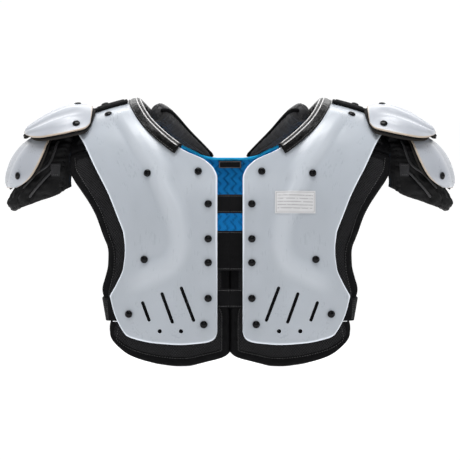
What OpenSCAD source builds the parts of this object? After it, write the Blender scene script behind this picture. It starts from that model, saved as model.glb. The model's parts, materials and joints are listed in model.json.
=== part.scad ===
// Protective shoulder pads: two hinged halves, each a plastic arch with foam pads,
// a shoulder cup and an epaulet flap, joined by webbing at front and back.
// Millimetres. +Z is up, the chest faces -Y, and +X is the wearer's left side.

/* [Arch] */
// Depth from the middle to the chest or back plate, at the centre line
half_depth = 125; // [110:1:140]
// Sideways distance at which the arch would close to nothing
arch_reach = 265; // [250:1:290]
// Height of the shoulder crest beside the neck
crest_h = 339.5; // [325:0.5:360]
// How much lower the crest is at the outer end of the shoulder
crest_fall = 47; // [30:1:60]
// Height where the flat plates start to curve over the shoulder
spring_h = 170; // [150:1:190]
// Roundness of the curve over the shoulder (2 is an ellipse)
arch_round = 2.4; // [2:0.1:3]
// How far the bottom edges lean in towards the body
tuck = 10; // [0:1:20]

/* [Plastic] */
// Thickness of the arch plastic
shell_t = 3.2; // [2:0.2:5]
// Distance from the centre line to the inner edge of a plate
plate_gap = 16; // [10:1:25]
// Height of the moulded stiffening ridge
ridge_h = 4; // [0:0.5:8]
// Half width of the moulded stiffening ridge
ridge_w = 15; // [8:1:20]
// Thickness of the epaulet and cup plastic
cap_t = 2.6; // [2:0.2:4]
// Thickness of the foam liners under epaulet and cup
liner_t = 2.2; // [1:0.2:5]

/* [Slots and rivets] */
// Width of the vent slots
slot_w = 4.2; // [3:0.1:8]
// Diameter of the plain accessory holes
hole_d = 5.6; // [4:0.1:8]
// Diameter of a rivet head
rivet_d = 9.5; // [7:0.5:12]
// Height of a rivet head
rivet_h = 3.2; // [2:0.2:5]
// Diameter of a rivet shank
shank_d = 3.8; // [3:0.1:5]

/* [Pads] */
// Thickness of the body pads
pad_t = 9.5; // [6:0.5:16]
// Distance from the outer face of the plastic to the outer face of the pads
pad_gap = 8; // [7:0.5:12]
// Radius of the neck cushion at its thick end
cushion_r = 11.5; // [8:0.5:16]
// Thickness of the upper arm pad
arm_pad_t = 9; // [6:0.5:14]

/* [Webbing] */
// Thickness of the flat webbing
web_t = 2; // [1.5:0.1:3]
// Width of the one inch webbing
web_w = 24; // [18:1:30]
// Width of the elastic side straps
side_w = 29; // [20:1:36]
// Width of the wide elastic band
band_w = 50; // [40:1:60]
// How far each front strap reaches past the centre line
strap_reach = 38; // [30:1:45]

/* [Hinges] */
// Sideways position of the epaulet and cup hinge axis
axis_x = 172; // [168:0.5:176]
// Height of the epaulet and cup hinge axis
axis_z = 334; // [328:0.5:340]

/* [Hidden] */
// Neck edge of the plastic, front and back: [share of the rise to the crest, distance from centre]
neck_f = [[0, plate_gap], [0.40, plate_gap], [0.46, 19.5], [0.525, 30], [0.61, 60],
          [0.735, 87], [0.85, 104.5], [0.95, 114], [1, 117.5]];
neck_b = [[0, plate_gap], [0.42, plate_gap], [0.47, 22], [0.56, 40], [0.67, 62],
          [0.78, 84], [0.89, 102], [0.96, 112], [1, 117.5]];
// Outer edge of the plastic above the spring line, same form
shell_out = [[0, 135], [0.159, 145], [0.291, 153], [0.416, 162], [0.539, 171],
             [0.817, 188.6], [1, 204]];
// Outer edge of the plastic below the spring line: [height, distance from centre]
waist_out = [[89, 152], [105, 143], [124, 135], [148, 132.7], [170, 135]];
// Bottom edge of the plastic: [share of the width, height]
shell_low = [[0, 41], [0.045, 34], [0.37, 26.7], [0.64, 31.5], [0.79, 35], [0.84, 38.5],
             [0.92, 63.5], [1, 89]];
// Pad outlines, in the same three forms
pad_neck_f = [[0, 20], [0.46, 24], [0.525, 38], [0.61, 66], [0.735, 90], [0.85, 106], [1, 118]];
pad_neck_b = [[0, 0.5], [0.44, 0.5], [0.49, 20], [0.57, 42], [0.68, 63], [0.79, 85], [0.9, 103],
              [1, 118]];
pad_out = [[0, 166], [0.128, 173], [0.222, 180], [0.369, 193], [0.489, 203], [0.585, 208],
           [0.71, 208], [0.8, 206], [0.87, 200], [0.93, 196], [1, 196]];
pad_waist = [[36, 154.5], [46, 155.5], [54, 154], [60, 152.5], [84, 152.5], [90, 157], [96, 161],
             [110, 159.5], [127, 155.5], [142, 155], [150, 156], [160, 161], [170, 166]];
pad_inner = [[0, 0.5], [70, 0.5], [84, 6], [96, 20], [170, 20]];
pad_inner_b = [[0, 0.5], [170, 0.5]];
pad_low = [[0, 18], [0.03, 13.5], [0.08, 10], [0.17, 6.4], [0.25, 3.4], [0.34, 0], [0.45, 0],
           [0.58, 2.5], [0.67, 5.4], [0.755, 9], [0.85, 15], [0.92, 22.9], [0.97, 31], [1, 40]];
// Ridge line on the plate, from the shoulder down and out to the side: [distance, height]
ridge_line = [[133, 318], [91, 250], [86, 232], [74, 205], [66, 182], [63.5, 158], [67, 142],
              [77, 128], [102, 115], [130, 105]];
// Rivets of a plate: [distance, height, 1 when a strap or anchor lies under it]
rivets = [[40, 246, 0], [104, 243.5, 0], [27.5, 205, 1], [27.5, 161, 1], [27.5, 131, 1],
          [27.5, 86, 1], [33, 53, 0], [108, 135, 0], [127.5, 66, 1], [154, 318, 0]];
crest_rivet_x = 157;
// Vent slots: [upper end distance, height, lower end distance, height]
slots = [[110, 80.3, 102, 58.6], [85.5, 91.6, 72.7, 56.1], [61.2, 98.9, 45.9, 58.4]];
holes = [[61.7, 44.5], [88.5, 44.5]];
// Epaulet profiles: crown line, front edge line [distance, height], half widths
epa_top = [[174, 329], [186, 331], [200, 329.5], [214, 325], [228, 318.5], [242, 310],
           [254, 301.5], [262, 295.5]];
epa_edge = [[174, 311], [182, 301.5], [198, 297], [212, 294], [226, 291.5], [240, 289.5],
            [252, 290], [259, 292]];
epa_half = [56, 69, 72, 73, 71, 65, 52, 30];
// Cup profiles in the same form
cup_top = [[233, 299], [246, 292], [259, 282.5], [270, 271], [278, 258], [283, 243],
           [284, 232], [283, 224]];
cup_edge = [[226, 291], [231, 283], [235, 273], [240, 261], [246, 249], [253, 238],
            [261, 230], [270, 224.5]];
cup_half = [46, 58, 66, 70, 70, 65, 52, 30];
// Upper arm pad: [outermost distance, its height, height at the inner edges, half width]
arm_pad = [[208.5, 297, 286, 43], [224, 289, 281, 48], [241.5, 279, 276, 54],
           [257, 267, 271.5, 57.5], [264.5, 251, 266, 58], [266, 234.5, 258.5, 56],
           [276, 213, 250, 54.5], [279, 198, 242, 50]];
arm_in = [192, 180];
// how much the front and back edges of the sleeve turn inwards
arm_taper = 0.1;

// ---- helpers ----
function unit(v) = v / norm(v);
function mix(a, b, t) = a + (b - a) * t;
function clamp01(t) = min(1, max(0, t));
function ease(t) = let(c = clamp01(t)) c * c * (3 - 2 * c);
// smooth curve through a list of values or points, u from 0 to 1
function curve(l, u) =
    let(n = len(l) - 1, k = min(n - 1, max(0, floor(u * n))), t = u * n - k,
        a = k > 0 ? l[k - 1] : 2 * l[0] - l[1], b = l[k], c = l[k + 1],
        d = k + 2 <= n ? l[k + 2] : 2 * l[n] - l[n - 1])
    0.5 * (2 * b + (c - a) * t + (2 * a - 5 * b + 4 * c - d) * t * t
           + (3 * b - a - 3 * c + d) * t * t * t);

// ---- the arch surface: x sideways, q along the arch, d outwards ----
// q runs from the front bottom (-90 - spring_h) over the crest (0) to the back bottom
function depth_at(x) = half_depth * sqrt(1 - pow(abs(x) / arch_reach, 2.6));
function crest_at(x) = crest_h + 1 - crest_fall * pow(max(0, abs(x) - 60) / 170, 2);
function arch_mid(x, q) =
    let(a = abs(q), s = sign(q), p = 2 / arch_round)
    a <= 90
    ? [x, s * depth_at(x) * pow(sin(a), p), spring_h + (crest_at(x) - spring_h) * pow(cos(a), p)]
    : [x, s * (depth_at(x) - tuck * pow((a - 90) / spring_h, 2)), spring_h - (a - 90)];
function arch_dx(x, q) = arch_mid(x + 0.5, q) - arch_mid(x - 0.5, q);
function arch_dq(x, q) = arch_mid(x, q + 0.5) - arch_mid(x, q - 0.5);
function arch_n(x, q) =
    let(n = unit(cross(arch_dx(x, q), arch_dq(x, q)))) abs(q) > 90 ? unit([n[0], n[1], 0]) : n;
function arch(x, q, d) = arch_mid(x, q) + d * arch_n(x, q);
// share of the rise from the spring line to the crest
function rise(q) = abs(q) >= 90 ? 0 : pow(cos(q), 2 / arch_round);
// q of the front surface at a height
function q_of(x, z) =
    z > spring_h
    ? -acos(pow((z - spring_h) / (crest_at(x) - spring_h), arch_round / 2))
    : -(90 + spring_h - z);

// distance from a point to the ridge line, both seen from the front
function seg_dist(p, a, b) =
    let(t = clamp01(((p - a) * (b - a)) / ((b - a) * (b - a)))) norm(p - a - t * (b - a));
function ridge(x, q) =
    let(m = arch_mid(x, q), p = [m[0], m[2]],
        d = min([for (i = [0 : len(ridge_line) - 2]) seg_dist(p, ridge_line[i], ridge_line[i + 1])]),
        top = ease((abs(q) - 12) / 16), side = ease((138 - x) / 34 + (m[2] > 125 ? 1 : 0)))
    ridge_h * ease(1.25 * (1 - d / ridge_w)) * top * side;

// ---- closed sheet between an outer and an inner grid of points ----
module slab(a, b) {
    r = len(a) - 1;
    c = len(a[0]) - 1;
    w = c + 1;
    m = (r + 1) * w;
    quads = concat(
        [for (i = [0 : r - 1], j = [0 : c - 1])
            [i * w + j, (i + 1) * w + j, (i + 1) * w + j + 1, i * w + j + 1]],
        [for (i = [0 : r - 1], j = [0 : c - 1])
            [m + i * w + j, m + i * w + j + 1, m + (i + 1) * w + j + 1, m + (i + 1) * w + j]],
        [for (i = [0 : r - 1]) [i * w, m + i * w, m + (i + 1) * w, (i + 1) * w]],
        [for (i = [0 : r - 1])
            [i * w + c, (i + 1) * w + c, m + (i + 1) * w + c, m + i * w + c]],
        [for (j = [0 : c - 1]) [j, j + 1, m + j + 1, m + j]],
        [for (j = [0 : c - 1]) [r * w + j, m + r * w + j, m + r * w + j + 1, r * w + j + 1]]);
    tris = [for (q = quads, k = [0, 1]) k == 0 ? [q[0], q[1], q[2]] : [q[0], q[2], q[3]]];
    polyhedron(points = concat([for (row = a, p = row) p], [for (row = b, p = row) p]),
               faces = tris, convexity = 8);
}

// ---- closed tube through rings of points ----
module tube(rings) {
    r = len(rings) - 1;
    n = len(rings[0]);
    pts = [for (g = rings, p = g) p];
    sides = [for (i = [0 : r - 1], j = [0 : n - 1], k = [0, 1])
        let(a = i * n + j, b = i * n + (j + 1) % n, c = a + n, d = b + n)
        k == 0 ? [a, c, d] : [a, d, b]];
    ends = concat([for (j = [1 : n - 2]) [0, j, j + 1]],
                  [for (j = [1 : n - 2]) [r * n, r * n + j + 1, r * n + j]]);
    polyhedron(points = pts, faces = concat(sides, ends), convexity = 4);
}

// both sides share one description, mirrored for the wearer's right
module side(s) {
    if (s > 0) children();
    else mirror([1, 0, 0]) children();
}

// place children with +Z along a direction
module stand(p, n) {
    translate(p) rotate([0, acos(n[2]), atan2(n[1], n[0])]) children();
}

// ---- outlines of plate and pads as grids of [x, q] ----
// front plate below the spring line, t = 1 at the bottom edge
function shell_cell(t, v) =
    let(z1 = mix(spring_h, 89, t), x = mix(plate_gap, lookup(z1, waist_out), v),
        z = mix(spring_h, lookup(v, shell_low), t))
    [x, -(90 + spring_h - z)];
shell_cols = 20;
shell_rows_low = 7;
shell_rows_up = 20;
function shell_grid(d) =
    let(n = shell_cols, m = shell_rows_low, k = shell_rows_up)
    concat(
        [for (i = [0 : m - 1]) [for (j = [0 : n])
            let(c = shell_cell(1 - i / m, j / n)) arch(c[0], c[1], d + ridge(c[0], c[1]))]],
        [for (i = [0 : k]) let(q = -90 + 180 * i / k, h = rise(q))
            [for (j = [0 : n])
                let(x = mix(lookup(h, q < 0 ? neck_f : neck_b), lookup(h, shell_out), j / n))
                arch(x, q, d + ridge(x, q))]],
        [for (i = [m - 1 : -1 : 0]) [for (j = [0 : n])
            let(c = shell_cell(1 - i / m, j / n))
            arch(c[0], -c[1], d + ridge(c[0], -c[1]))]]);

// pads: front runs from the bottom to the shoulder, back the same behind
function pad_cell(t, v, inner) =
    let(z0 = mix(spring_h, 18, t), z1 = mix(spring_h, 36, t),
        x = mix(lookup(z0, inner), lookup(z1, pad_waist), v),
        z = mix(spring_h, lookup(v, pad_low), t))
    [x, -(90 + spring_h - z)];
pad_top_q = 46;
function pad_grid(d, back) =
    let(n = 14, m = 12, k = 7, s = back ? -1 : 1, inner = back ? pad_inner_b : pad_inner,
        neck = back ? pad_neck_b : pad_neck_f)
    concat(
        [for (i = [0 : m - 1]) [for (j = [0 : n])
            let(c = pad_cell(1 - i / m, j / n, inner)) arch(c[0], s * c[1], d)]],
        [for (i = [0 : k]) let(q = -90 + (90 - pad_top_q) * i / k, h = rise(q))
            [for (j = [0 : n]) arch(mix(lookup(h, neck), lookup(h, pad_out), j / n), s * q, d)]]);

// ---- dome surfaces of epaulet and cup: u along, v across ----
function dome_mid(c, e, w, u, v) =
    let(p = curve(c, u), g = curve(e, u), a = pow(abs(v), 2.3))
    [mix(p[0], g[0], a), v * curve(w, u), mix(p[1], g[1], a)];
function dome(c, e, w, u, v, d) =
    let(du = dome_mid(c, e, w, u + 0.01, v) - dome_mid(c, e, w, u - 0.01, v),
        dv = dome_mid(c, e, w, u, v + 0.01) - dome_mid(c, e, w, u, v - 0.01))
    dome_mid(c, e, w, u, v) + d * unit(cross(du, dv));
function dome_n(c, e, w, u, v) = dome(c, e, w, u, v, 1) - dome(c, e, w, u, v, 0);
// rows follow v and columns follow u, so the sheet faces outwards
function dome_grid(c, e, w, d, nu, nv, over) =
    [for (i = [0 : nv]) [for (j = [0 : nu])
        dome(c, e, w, mix(-over, 1 + over, j / nu), (1 + over) * (2 * i / nv - 1), d)]];

// ---- upper arm pad: a sleeve open towards the body; g from -1 to 1 goes round it ----
function arm_mid(u, g) =
    let(s = curve(arm_pad, u), f = pow(1 - pow(abs(g), 3), 0.5))
    [mix(mix(arm_in[0], arm_in[1], u), s[0], f),
     sign(g) * s[3] * (pow(abs(g), 0.8) - arm_taper * pow(abs(g), 12)), mix(s[2], s[1], pow(f, 0.6))];
function arm_n(u, g) =
    unit(cross(arm_mid(u + 0.01, g) - arm_mid(u - 0.01, g),
               arm_mid(u, min(0.985, g + 0.015)) - arm_mid(u, max(-0.985, g - 0.015))));
function arm_grid(d, nu, nv) =
    [for (i = [0 : nv]) let(g = 0.985 * (2 * i / nv - 1))
        [for (j = [0 : nu]) arm_mid(j / nu, g) + d * arm_n(j / nu, g)]];

// ---- fasteners ----
module rivet(depth) {
    r = rivet_d / 2;
    rotate_extrude($fn = 32)
        polygon([[0, -depth], [shank_d / 2, -depth], [shank_d / 2, 0.25], [r, 0.25], [r, 1.1],
                 [r * 0.86, 2.1], [r * 0.5, 2.95], [0, rivet_h]]);
}
module washer(depth) {
    translate([0, 0, -depth - 1.1]) rotate_extrude($fn = 32)
        polygon([[shank_d / 2 + 0.15, 0], [5, 0], [5, 1.1], [shank_d / 2 + 0.15, 1.1]]);
}
function rivet_q(r, s) = s * q_of(r[0], r[1]);
module at_rivet(r, s) {
    q = rivet_q(r, s);
    stand(arch(r[0], q, ridge(r[0], q)), arch_n(r[0], q)) children();
}

module arch_shell(s) {
    color([0.93, 0.95, 0.97]) side(s) difference() {
        slab(shell_grid(0), shell_grid(-shell_t));
        for (g = slots) let(w = norm([g[2] - g[0], g[3] - g[1]]), a = atan2(g[3] - g[1], g[2] - g[0])) {
            translate([g[0], 150, g[1]]) rotate([90, 0, 0]) cylinder(d = slot_w, h = 300, $fn = 24);
            translate([g[2], 150, g[3]]) rotate([90, 0, 0]) cylinder(d = slot_w, h = 300, $fn = 24);
            translate([g[0], 0, g[1]]) rotate([0, -a, 0])
                translate([0, -150, -slot_w / 2]) cube([w, 300, slot_w]);
        }
        for (g = holes) translate([g[0], 150, g[1]]) rotate([90, 0, 0])
            cylinder(d = hole_d, h = 300, $fn = 24);
    }
}
module arch_rivets(s) {
    color([0.08, 0.08, 0.09]) side(s)
        for (r = rivets, e = [1, -1]) at_rivet(r, e) rivet(r[2] > 0 ? 7.4 : 5.1);
}
module rivet_washers(s) {
    color([0.3, 0.3, 0.32]) side(s)
        for (r = rivets, e = [1, -1]) at_rivet(r, e) washer(r[2] > 0 ? 6.5 : 4);
}
strap_q = 9;
module crest_strap(s) {
    color([0.06, 0.06, 0.07]) side(s) slab(
        [for (i = [0 : 6]) [for (j = [0 : 4]) arch(mix(129, 167, j / 4), mix(-strap_q, strap_q, i / 6), 5.2)]],
        [for (i = [0 : 6]) [for (j = [0 : 4]) arch(mix(129, 167, j / 4), mix(-strap_q, strap_q, i / 6), 0.5)]]);
}
module crest_rivet(s) {
    color([0.08, 0.08, 0.09]) side(s)
        stand(arch(crest_rivet_x, 0, 5.2), arch_n(crest_rivet_x, 0)) rivet(9.2);
}

// edging folded round the neck edge; w goes round the fold
function neck_x(q) = lookup(rise(q), q < 0 ? neck_f : neck_b);
function fold_pt(q, b, d) =
    let(x = neck_x(q), t = unit(arch_mid(neck_x(q + 3), q + 3) - arch_mid(neck_x(q - 3), q - 3)),
        n = arch_n(x, q), k = unit(cross(t, n)), ex = unit(arch_dx(x, q)), eq = arch_dq(x, q))
    arch(x + b * (k * ex), q + b * (k * unit(eq)) / norm(eq), d);
fold_in = [[11, 0.9], [5, 0.9], [0, 0.9], [-1.8, -0.3], [-2.4, -1.7], [-1.8, -3.1], [0, -4.2], [5, -4.2], [9, -4.2]];
fold_out = [[11, 2.6], [5, 3.6], [0, 3.6], [-4.2, 1.6], [-5.6, -1.7], [-4.2, -5], [0, -7], [5, -7], [9, -6]];
bind_q0 = -57.5;
bind_q1 = 52;
function fold_grid(f) =
    [for (i = [0 : 24]) let(q = mix(bind_q0, bind_q1, i / 24))
        [for (j = [len(f) - 1 : -1 : 0]) fold_pt(q, f[j][0], f[j][1])]];
module neck_binding(s) {
    color([0.05, 0.05, 0.05]) side(s) slab(fold_grid(fold_in), fold_grid(fold_out));
}
// soft roll inside the back of the neck: [distance, q along the arch, depth, share of the radius]
cushion_line = [[97, 11, -13.5, 0.8], [90, 20.5, -14, 1], [80, 31, -15, 1], [68, 40.6, -16, 0.93],
                [55, 47.5, -15, 0.82], [42, 53.1, -14, 0.7], [30, 57.2, -12.5, 0.6],
                [22, 59.6, -11.5, 0.5]];
function cush_mid(t) = let(c = curve(cushion_line, t)) arch(c[0], c[1], c[2]);
function cush_ring(i, n) =
    let(t = i / n, c = curve(cushion_line, t), m = cush_mid(t), e = min(i, n - i),
        r = cushion_r * c[3] * (e == 0 ? 0.4 : (e == 1 ? 0.8 : 1)),
        tt = unit(cush_mid(t + 0.02) - cush_mid(t - 0.02)),
        u = unit(cross(tt, arch_n(c[0], c[1]))), w = cross(u, tt))
    [for (k = [0 : 11]) m + r * (cos(-30 * k) * u + sin(-30 * k) * w)];
module neck_cushion(s) {
    color([0.2, 0.21, 0.23]) side(s) tube([for (i = [0 : 16]) cush_ring(i, 16)]);
}
module front_pad(s) {
    color([0.1, 0.1, 0.11]) side(s) slab(pad_grid(-pad_gap, false), pad_grid(-pad_gap - pad_t, false));
}
module back_pad(s) {
    color([0.1, 0.1, 0.11]) side(s)
        slab(reverse(pad_grid(-pad_gap, true)), reverse(pad_grid(-pad_gap - pad_t, true)));
}
function reverse(g) = [for (i = [len(g) - 1 : -1 : 0]) g[i]];
function over_grid(d) =
    [for (i = [0 : 12]) let(q = mix(-pad_top_q + 1, pad_top_q - 1, i / 12), h = rise(q),
                            a = lookup(h, q < 0 ? pad_neck_f : pad_neck_b))
        [for (j = [0 : 6]) arch(mix(a, lookup(h, pad_out), j / 6), q, d)]];
module shoulder_pad(s) {
    color([0.1, 0.1, 0.11]) side(s) slab(over_grid(-pad_gap), over_grid(-pad_gap - pad_t));
}

// elastic strap that bridges front and back under the arm
strap_z = 72;
function side_row(z) =
    let(q = -(90 + spring_h - z), f = [arch(136, q, -4.25), arch(152, q, -4.25)],
        lean = 0.17 * (strap_z + side_w / 2 - z),
        k = [for (p = [[157.5, -95], [160, -84], [161, -60], [161, -30], [161, 0]]) [p[0] - lean, p[1], z]],
        h = concat(f, k))
    concat(h, [for (i = [len(h) - 2 : -1 : 0]) [h[i][0], -h[i][1], z]]);
function side_pt(row, i, o) =
    let(n = len(row) - 1, a = row[max(0, i - 1)], b = row[min(n, i + 1)], t = unit(b - a))
    row[i] + o * [t[1], -t[0], 0];
module side_strap(s) {
    color([0.05, 0.05, 0.06]) side(s) slab(
        [for (i = [0 : 12]) [for (z = [strap_z + side_w / 2, strap_z - side_w / 2]) side_pt(side_row(z), i, 0.75)]],
        [for (i = [0 : 12]) [for (z = [strap_z + side_w / 2, strap_z - side_w / 2]) side_pt(side_row(z), i, -0.75)]]);
}
module anchor(s, e) {
    color([0.85, 0.88, 0.92]) side(s) difference() {
        slab([for (i = [0 : 3]) [for (j = [0 : 4]) arch(mix(114, 149, j / 4), e * -(90 + spring_h - mix(55, 85, (e > 0 ? i : 3 - i) / 3)), -5.25)]],
             [for (i = [0 : 3]) [for (j = [0 : 4]) arch(mix(114, 149, j / 4), e * -(90 + spring_h - mix(55, 85, (e > 0 ? i : 3 - i) / 3)), -6)]]);
        at_rivet(rivets[8], e) translate([0, 0, -12]) cylinder(d = shank_d + 0.6, h = 14, $fn = 24);
    }
}

module epaulet_shell(s) {
    color([0.93, 0.95, 0.97]) side(s)
        slab(dome_grid(epa_top, epa_edge, epa_half, 0, 12, 14, 0),
             dome_grid(epa_top, epa_edge, epa_half, -cap_t, 12, 14, 0));
}
module epaulet_liner(s) {
    color([0.06, 0.06, 0.07]) side(s)
        slab(dome_grid(epa_top, epa_edge, epa_half, -cap_t - 0.5, 9, 10, 0.035),
             dome_grid(epa_top, epa_edge, epa_half, -cap_t - 0.5 - liner_t, 9, 10, 0.035));
}
epa_rivets = [[0.24, -0.88], [0.22, 0], [0.24, 0.88]];
module epaulet_rivets(s) {
    color([0.08, 0.08, 0.09]) side(s) for (r = epa_rivets)
        stand(dome(epa_top, epa_edge, epa_half, r[0], r[1], 0),
              dome_n(epa_top, epa_edge, epa_half, r[0], r[1])) rivet(cap_t + liner_t + 0.4);
}
module cup_shell(s) {
    color([0.93, 0.95, 0.97]) side(s)
        slab(dome_grid(cup_top, cup_edge, cup_half, 0, 12, 14, 0),
             dome_grid(cup_top, cup_edge, cup_half, -cap_t, 12, 14, 0));
}
module cup_liner(s) {
    color([0.06, 0.06, 0.07]) side(s)
        slab(dome_grid(cup_top, cup_edge, cup_half, -cap_t - 0.5, 9, 10, 0.03),
             dome_grid(cup_top, cup_edge, cup_half, -cap_t - 0.5 - liner_t, 9, 10, 0.03));
}
cup_rivets_at = [[0.72, -0.74], [0.72, 0.74]];
module cup_rivets(s) {
    color([0.08, 0.08, 0.09]) side(s) for (r = cup_rivets_at)
        stand(dome(cup_top, cup_edge, cup_half, r[0], r[1], 0),
              dome_n(cup_top, cup_edge, cup_half, r[0], r[1])) rivet(cap_t + liner_t + 0.4);
}
// webbing over the end of the arch that carries the cup
cup_web = [[174, 320.1], [188, 318.2], [202, 315], [213, 311.5], [224, 307.6], [234, 302.2], [242, 297.4]];
function web_pt(u, o) =
    let(p = curve(cup_web, u), t = unit(curve(cup_web, u + 0.01) - curve(cup_web, u - 0.01)))
    [p[0] - o * t[1], p[1] + o * t[0]];
module cup_strap(s) {
    color([0.05, 0.05, 0.06]) side(s) slab(
        [for (y = [-19, 19]) [for (j = [0 : 10]) let(p = web_pt(j / 10, web_t)) [p[0], y, p[1]]]],
        [for (y = [-19, 19]) [for (j = [0 : 10]) let(p = web_pt(j / 10, 0)) [p[0], y, p[1]]]]);
}
module arm_pad_part(s) {
    color([0.09, 0.09, 0.1]) side(s) slab(arm_grid(0, 12, 18), arm_grid(-arm_pad_t, 12, 18));
}
// small webbing tab on the front of the arm pad
module arm_tab(s) {
    color([0.45, 0.46, 0.48]) side(s) translate([215, -62.2, 240]) cube([11, 1.2, 15]);
}

// ---- pieces across the centre line ----
function arch_x(x, q, d) = let(p = arch(abs(x), q, d)) [x < 0 ? -p[0] : p[0], p[1], p[2]];
liner_top = [[0, 57.9], [14, 58.1], [20, 63], [30, 64.4], [42, 60.7], [55, 57.4], [68, 52.2],
             [89, 39], [100, 29], [112, 18], [118, 13]];
module back_liner() {
    color([0.1, 0.42, 0.7]) slab(
        [for (i = [14 : -1 : 0]) [for (j = [24 : -1 : 0]) let(x = -118 + 236 * j / 24)
            arch_x(x, mix(138, lookup(abs(x), liner_top), i / 14), -18.7)]],
        [for (i = [14 : -1 : 0]) [for (j = [24 : -1 : 0]) let(x = -118 + 236 * j / 24)
            arch_x(x, mix(138, lookup(abs(x), liner_top), i / 14), -20.7)]]);
}
function band(e, z0, z1, w, d) =
    [for (i = [0 : 3]) [for (j = [0 : 8]) arch_x(mix(-w, w, j / 8), e * q_of(0, mix(z0, z1, i / 3)), d)]];
module collar_tab() {
    color([0.05, 0.05, 0.06]) slab(reverse(band(-1, 256.5, 267, 14.5, -21.3)), reverse(band(-1, 256.5, 267, 14.5, -22.3)));
}
module strap_holes(e, hs) {
    for (h = hs, m = [1, -1]) side(m) at_rivet(h, e)
        translate([0, 0, -12]) cylinder(d = shank_d + 1.4, h = 14, $fn = 24);
}
module cross_strap(e, z0, z1, hs) {
    difference() {
        if (e > 0) slab(band(e, z0, z1, strap_reach, -4.2), band(e, z0, z1, strap_reach, -4.2 - web_t));
        else slab(reverse(band(e, z0, z1, strap_reach, -4.2)), reverse(band(e, z0, z1, strap_reach, -4.2 - web_t)));
        strap_holes(e, hs);
    }
}
module front_strap_upper() {
    color([0.05, 0.05, 0.06]) cross_strap(1, 193.4, 193.4 + web_w, [rivets[2]]);
}
module front_elastic_band() {
    color([0.07, 0.07, 0.08]) cross_strap(1, 121, 121 + band_w, [rivets[3], rivets[4]]);
}
module front_strap_lower() {
    color([0.05, 0.05, 0.06]) cross_strap(1, 74, 74 + web_w, [rivets[5]]);
}
module rear_strap_upper() {
    color([0.05, 0.05, 0.06]) cross_strap(-1, 193.4, 193.4 + web_w, [rivets[2]]);
}
module rear_strap_lower() {
    color([0.05, 0.05, 0.06]) cross_strap(-1, 74, 74 + web_w, [rivets[5]]);
}
module rear_bridge() {
    color([0.12, 0.12, 0.13]) slab(reverse(band(-1, 99, 187, 19, -4.2)), reverse(band(-1, 99, 187, 19, -5.8)));
}
// blank white label that follows the plate
function label_grid(d) =
    [for (i = [0 : 5]) [for (j = [0 : 10])
        let(x = mix(56.5, 107.5, j / 10), q = q_of(x, mix(193, 221, i / 5))) arch(x, q, d + ridge(x, q))]];
module plate_label() {
    color([0.97, 0.97, 0.97]) slab(label_grid(1.0), label_grid(0.55));
}

arch_shell(1);  // arch_shell_l
arch_rivets(1);  // arch_rivets_l
rivet_washers(1);  // rivet_washers_l
crest_strap(1);  // crest_strap_l
crest_rivet(1);  // crest_rivet_l
neck_binding(1);  // neck_binding_l
neck_cushion(1);  // neck_cushion_l
front_pad(1);  // front_pad_l
back_pad(1);  // back_pad_l
shoulder_pad(1);  // shoulder_pad_l
side_strap(1);  // side_strap_l
anchor(1, 1);  // side_anchor_front_l
anchor(1, -1);  // side_anchor_back_l
epaulet_shell(1);  // epaulet_shell_l
epaulet_liner(1);  // epaulet_liner_l
epaulet_rivets(1);  // epaulet_rivets_l
cup_shell(1);  // cup_shell_l
cup_liner(1);  // cup_liner_l
cup_rivets(1);  // cup_rivets_l
cup_strap(1);  // cup_strap_l
arm_pad_part(1);  // arm_pad_l
arm_tab(1);  // arm_tab_l
arch_shell(-1);  // arch_shell_r
arch_rivets(-1);  // arch_rivets_r
rivet_washers(-1);  // rivet_washers_r
crest_strap(-1);  // crest_strap_r
crest_rivet(-1);  // crest_rivet_r
neck_binding(-1);  // neck_binding_r
neck_cushion(-1);  // neck_cushion_r
front_pad(-1);  // front_pad_r
back_pad(-1);  // back_pad_r
shoulder_pad(-1);  // shoulder_pad_r
side_strap(-1);  // side_strap_r
anchor(-1, 1);  // side_anchor_front_r
anchor(-1, -1);  // side_anchor_back_r
epaulet_shell(-1);  // epaulet_shell_r
epaulet_liner(-1);  // epaulet_liner_r
epaulet_rivets(-1);  // epaulet_rivets_r
cup_shell(-1);  // cup_shell_r
cup_liner(-1);  // cup_liner_r
cup_rivets(-1);  // cup_rivets_r
cup_strap(-1);  // cup_strap_r
arm_pad_part(-1);  // arm_pad_r
arm_tab(-1);  // arm_tab_r
back_liner();
collar_tab();
plate_label();
front_strap_upper();
front_elastic_band();
front_strap_lower();
rear_strap_upper();
rear_strap_lower();
rear_bridge();
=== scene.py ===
import json
import math

import bmesh
import bpy
import numpy as np
from mathutils import Matrix, Vector


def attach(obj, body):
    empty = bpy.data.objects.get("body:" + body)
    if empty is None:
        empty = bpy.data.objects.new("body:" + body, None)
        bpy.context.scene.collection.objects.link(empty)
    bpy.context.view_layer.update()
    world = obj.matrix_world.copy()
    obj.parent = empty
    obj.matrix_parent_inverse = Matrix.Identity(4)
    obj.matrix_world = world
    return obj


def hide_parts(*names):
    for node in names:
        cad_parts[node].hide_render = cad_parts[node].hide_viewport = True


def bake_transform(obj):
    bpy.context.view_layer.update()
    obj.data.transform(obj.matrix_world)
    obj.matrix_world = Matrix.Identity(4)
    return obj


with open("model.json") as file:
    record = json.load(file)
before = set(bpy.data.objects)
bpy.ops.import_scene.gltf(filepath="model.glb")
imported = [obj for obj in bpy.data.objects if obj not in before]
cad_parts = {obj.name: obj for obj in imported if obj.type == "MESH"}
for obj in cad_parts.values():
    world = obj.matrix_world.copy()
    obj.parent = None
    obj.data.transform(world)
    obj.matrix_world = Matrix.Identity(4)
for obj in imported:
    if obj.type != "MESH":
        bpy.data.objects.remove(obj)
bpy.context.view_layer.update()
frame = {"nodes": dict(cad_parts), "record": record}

# All sizes below are in millimetres and follow the CAD design; meshes are made in metres.
MM = 0.001

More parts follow.
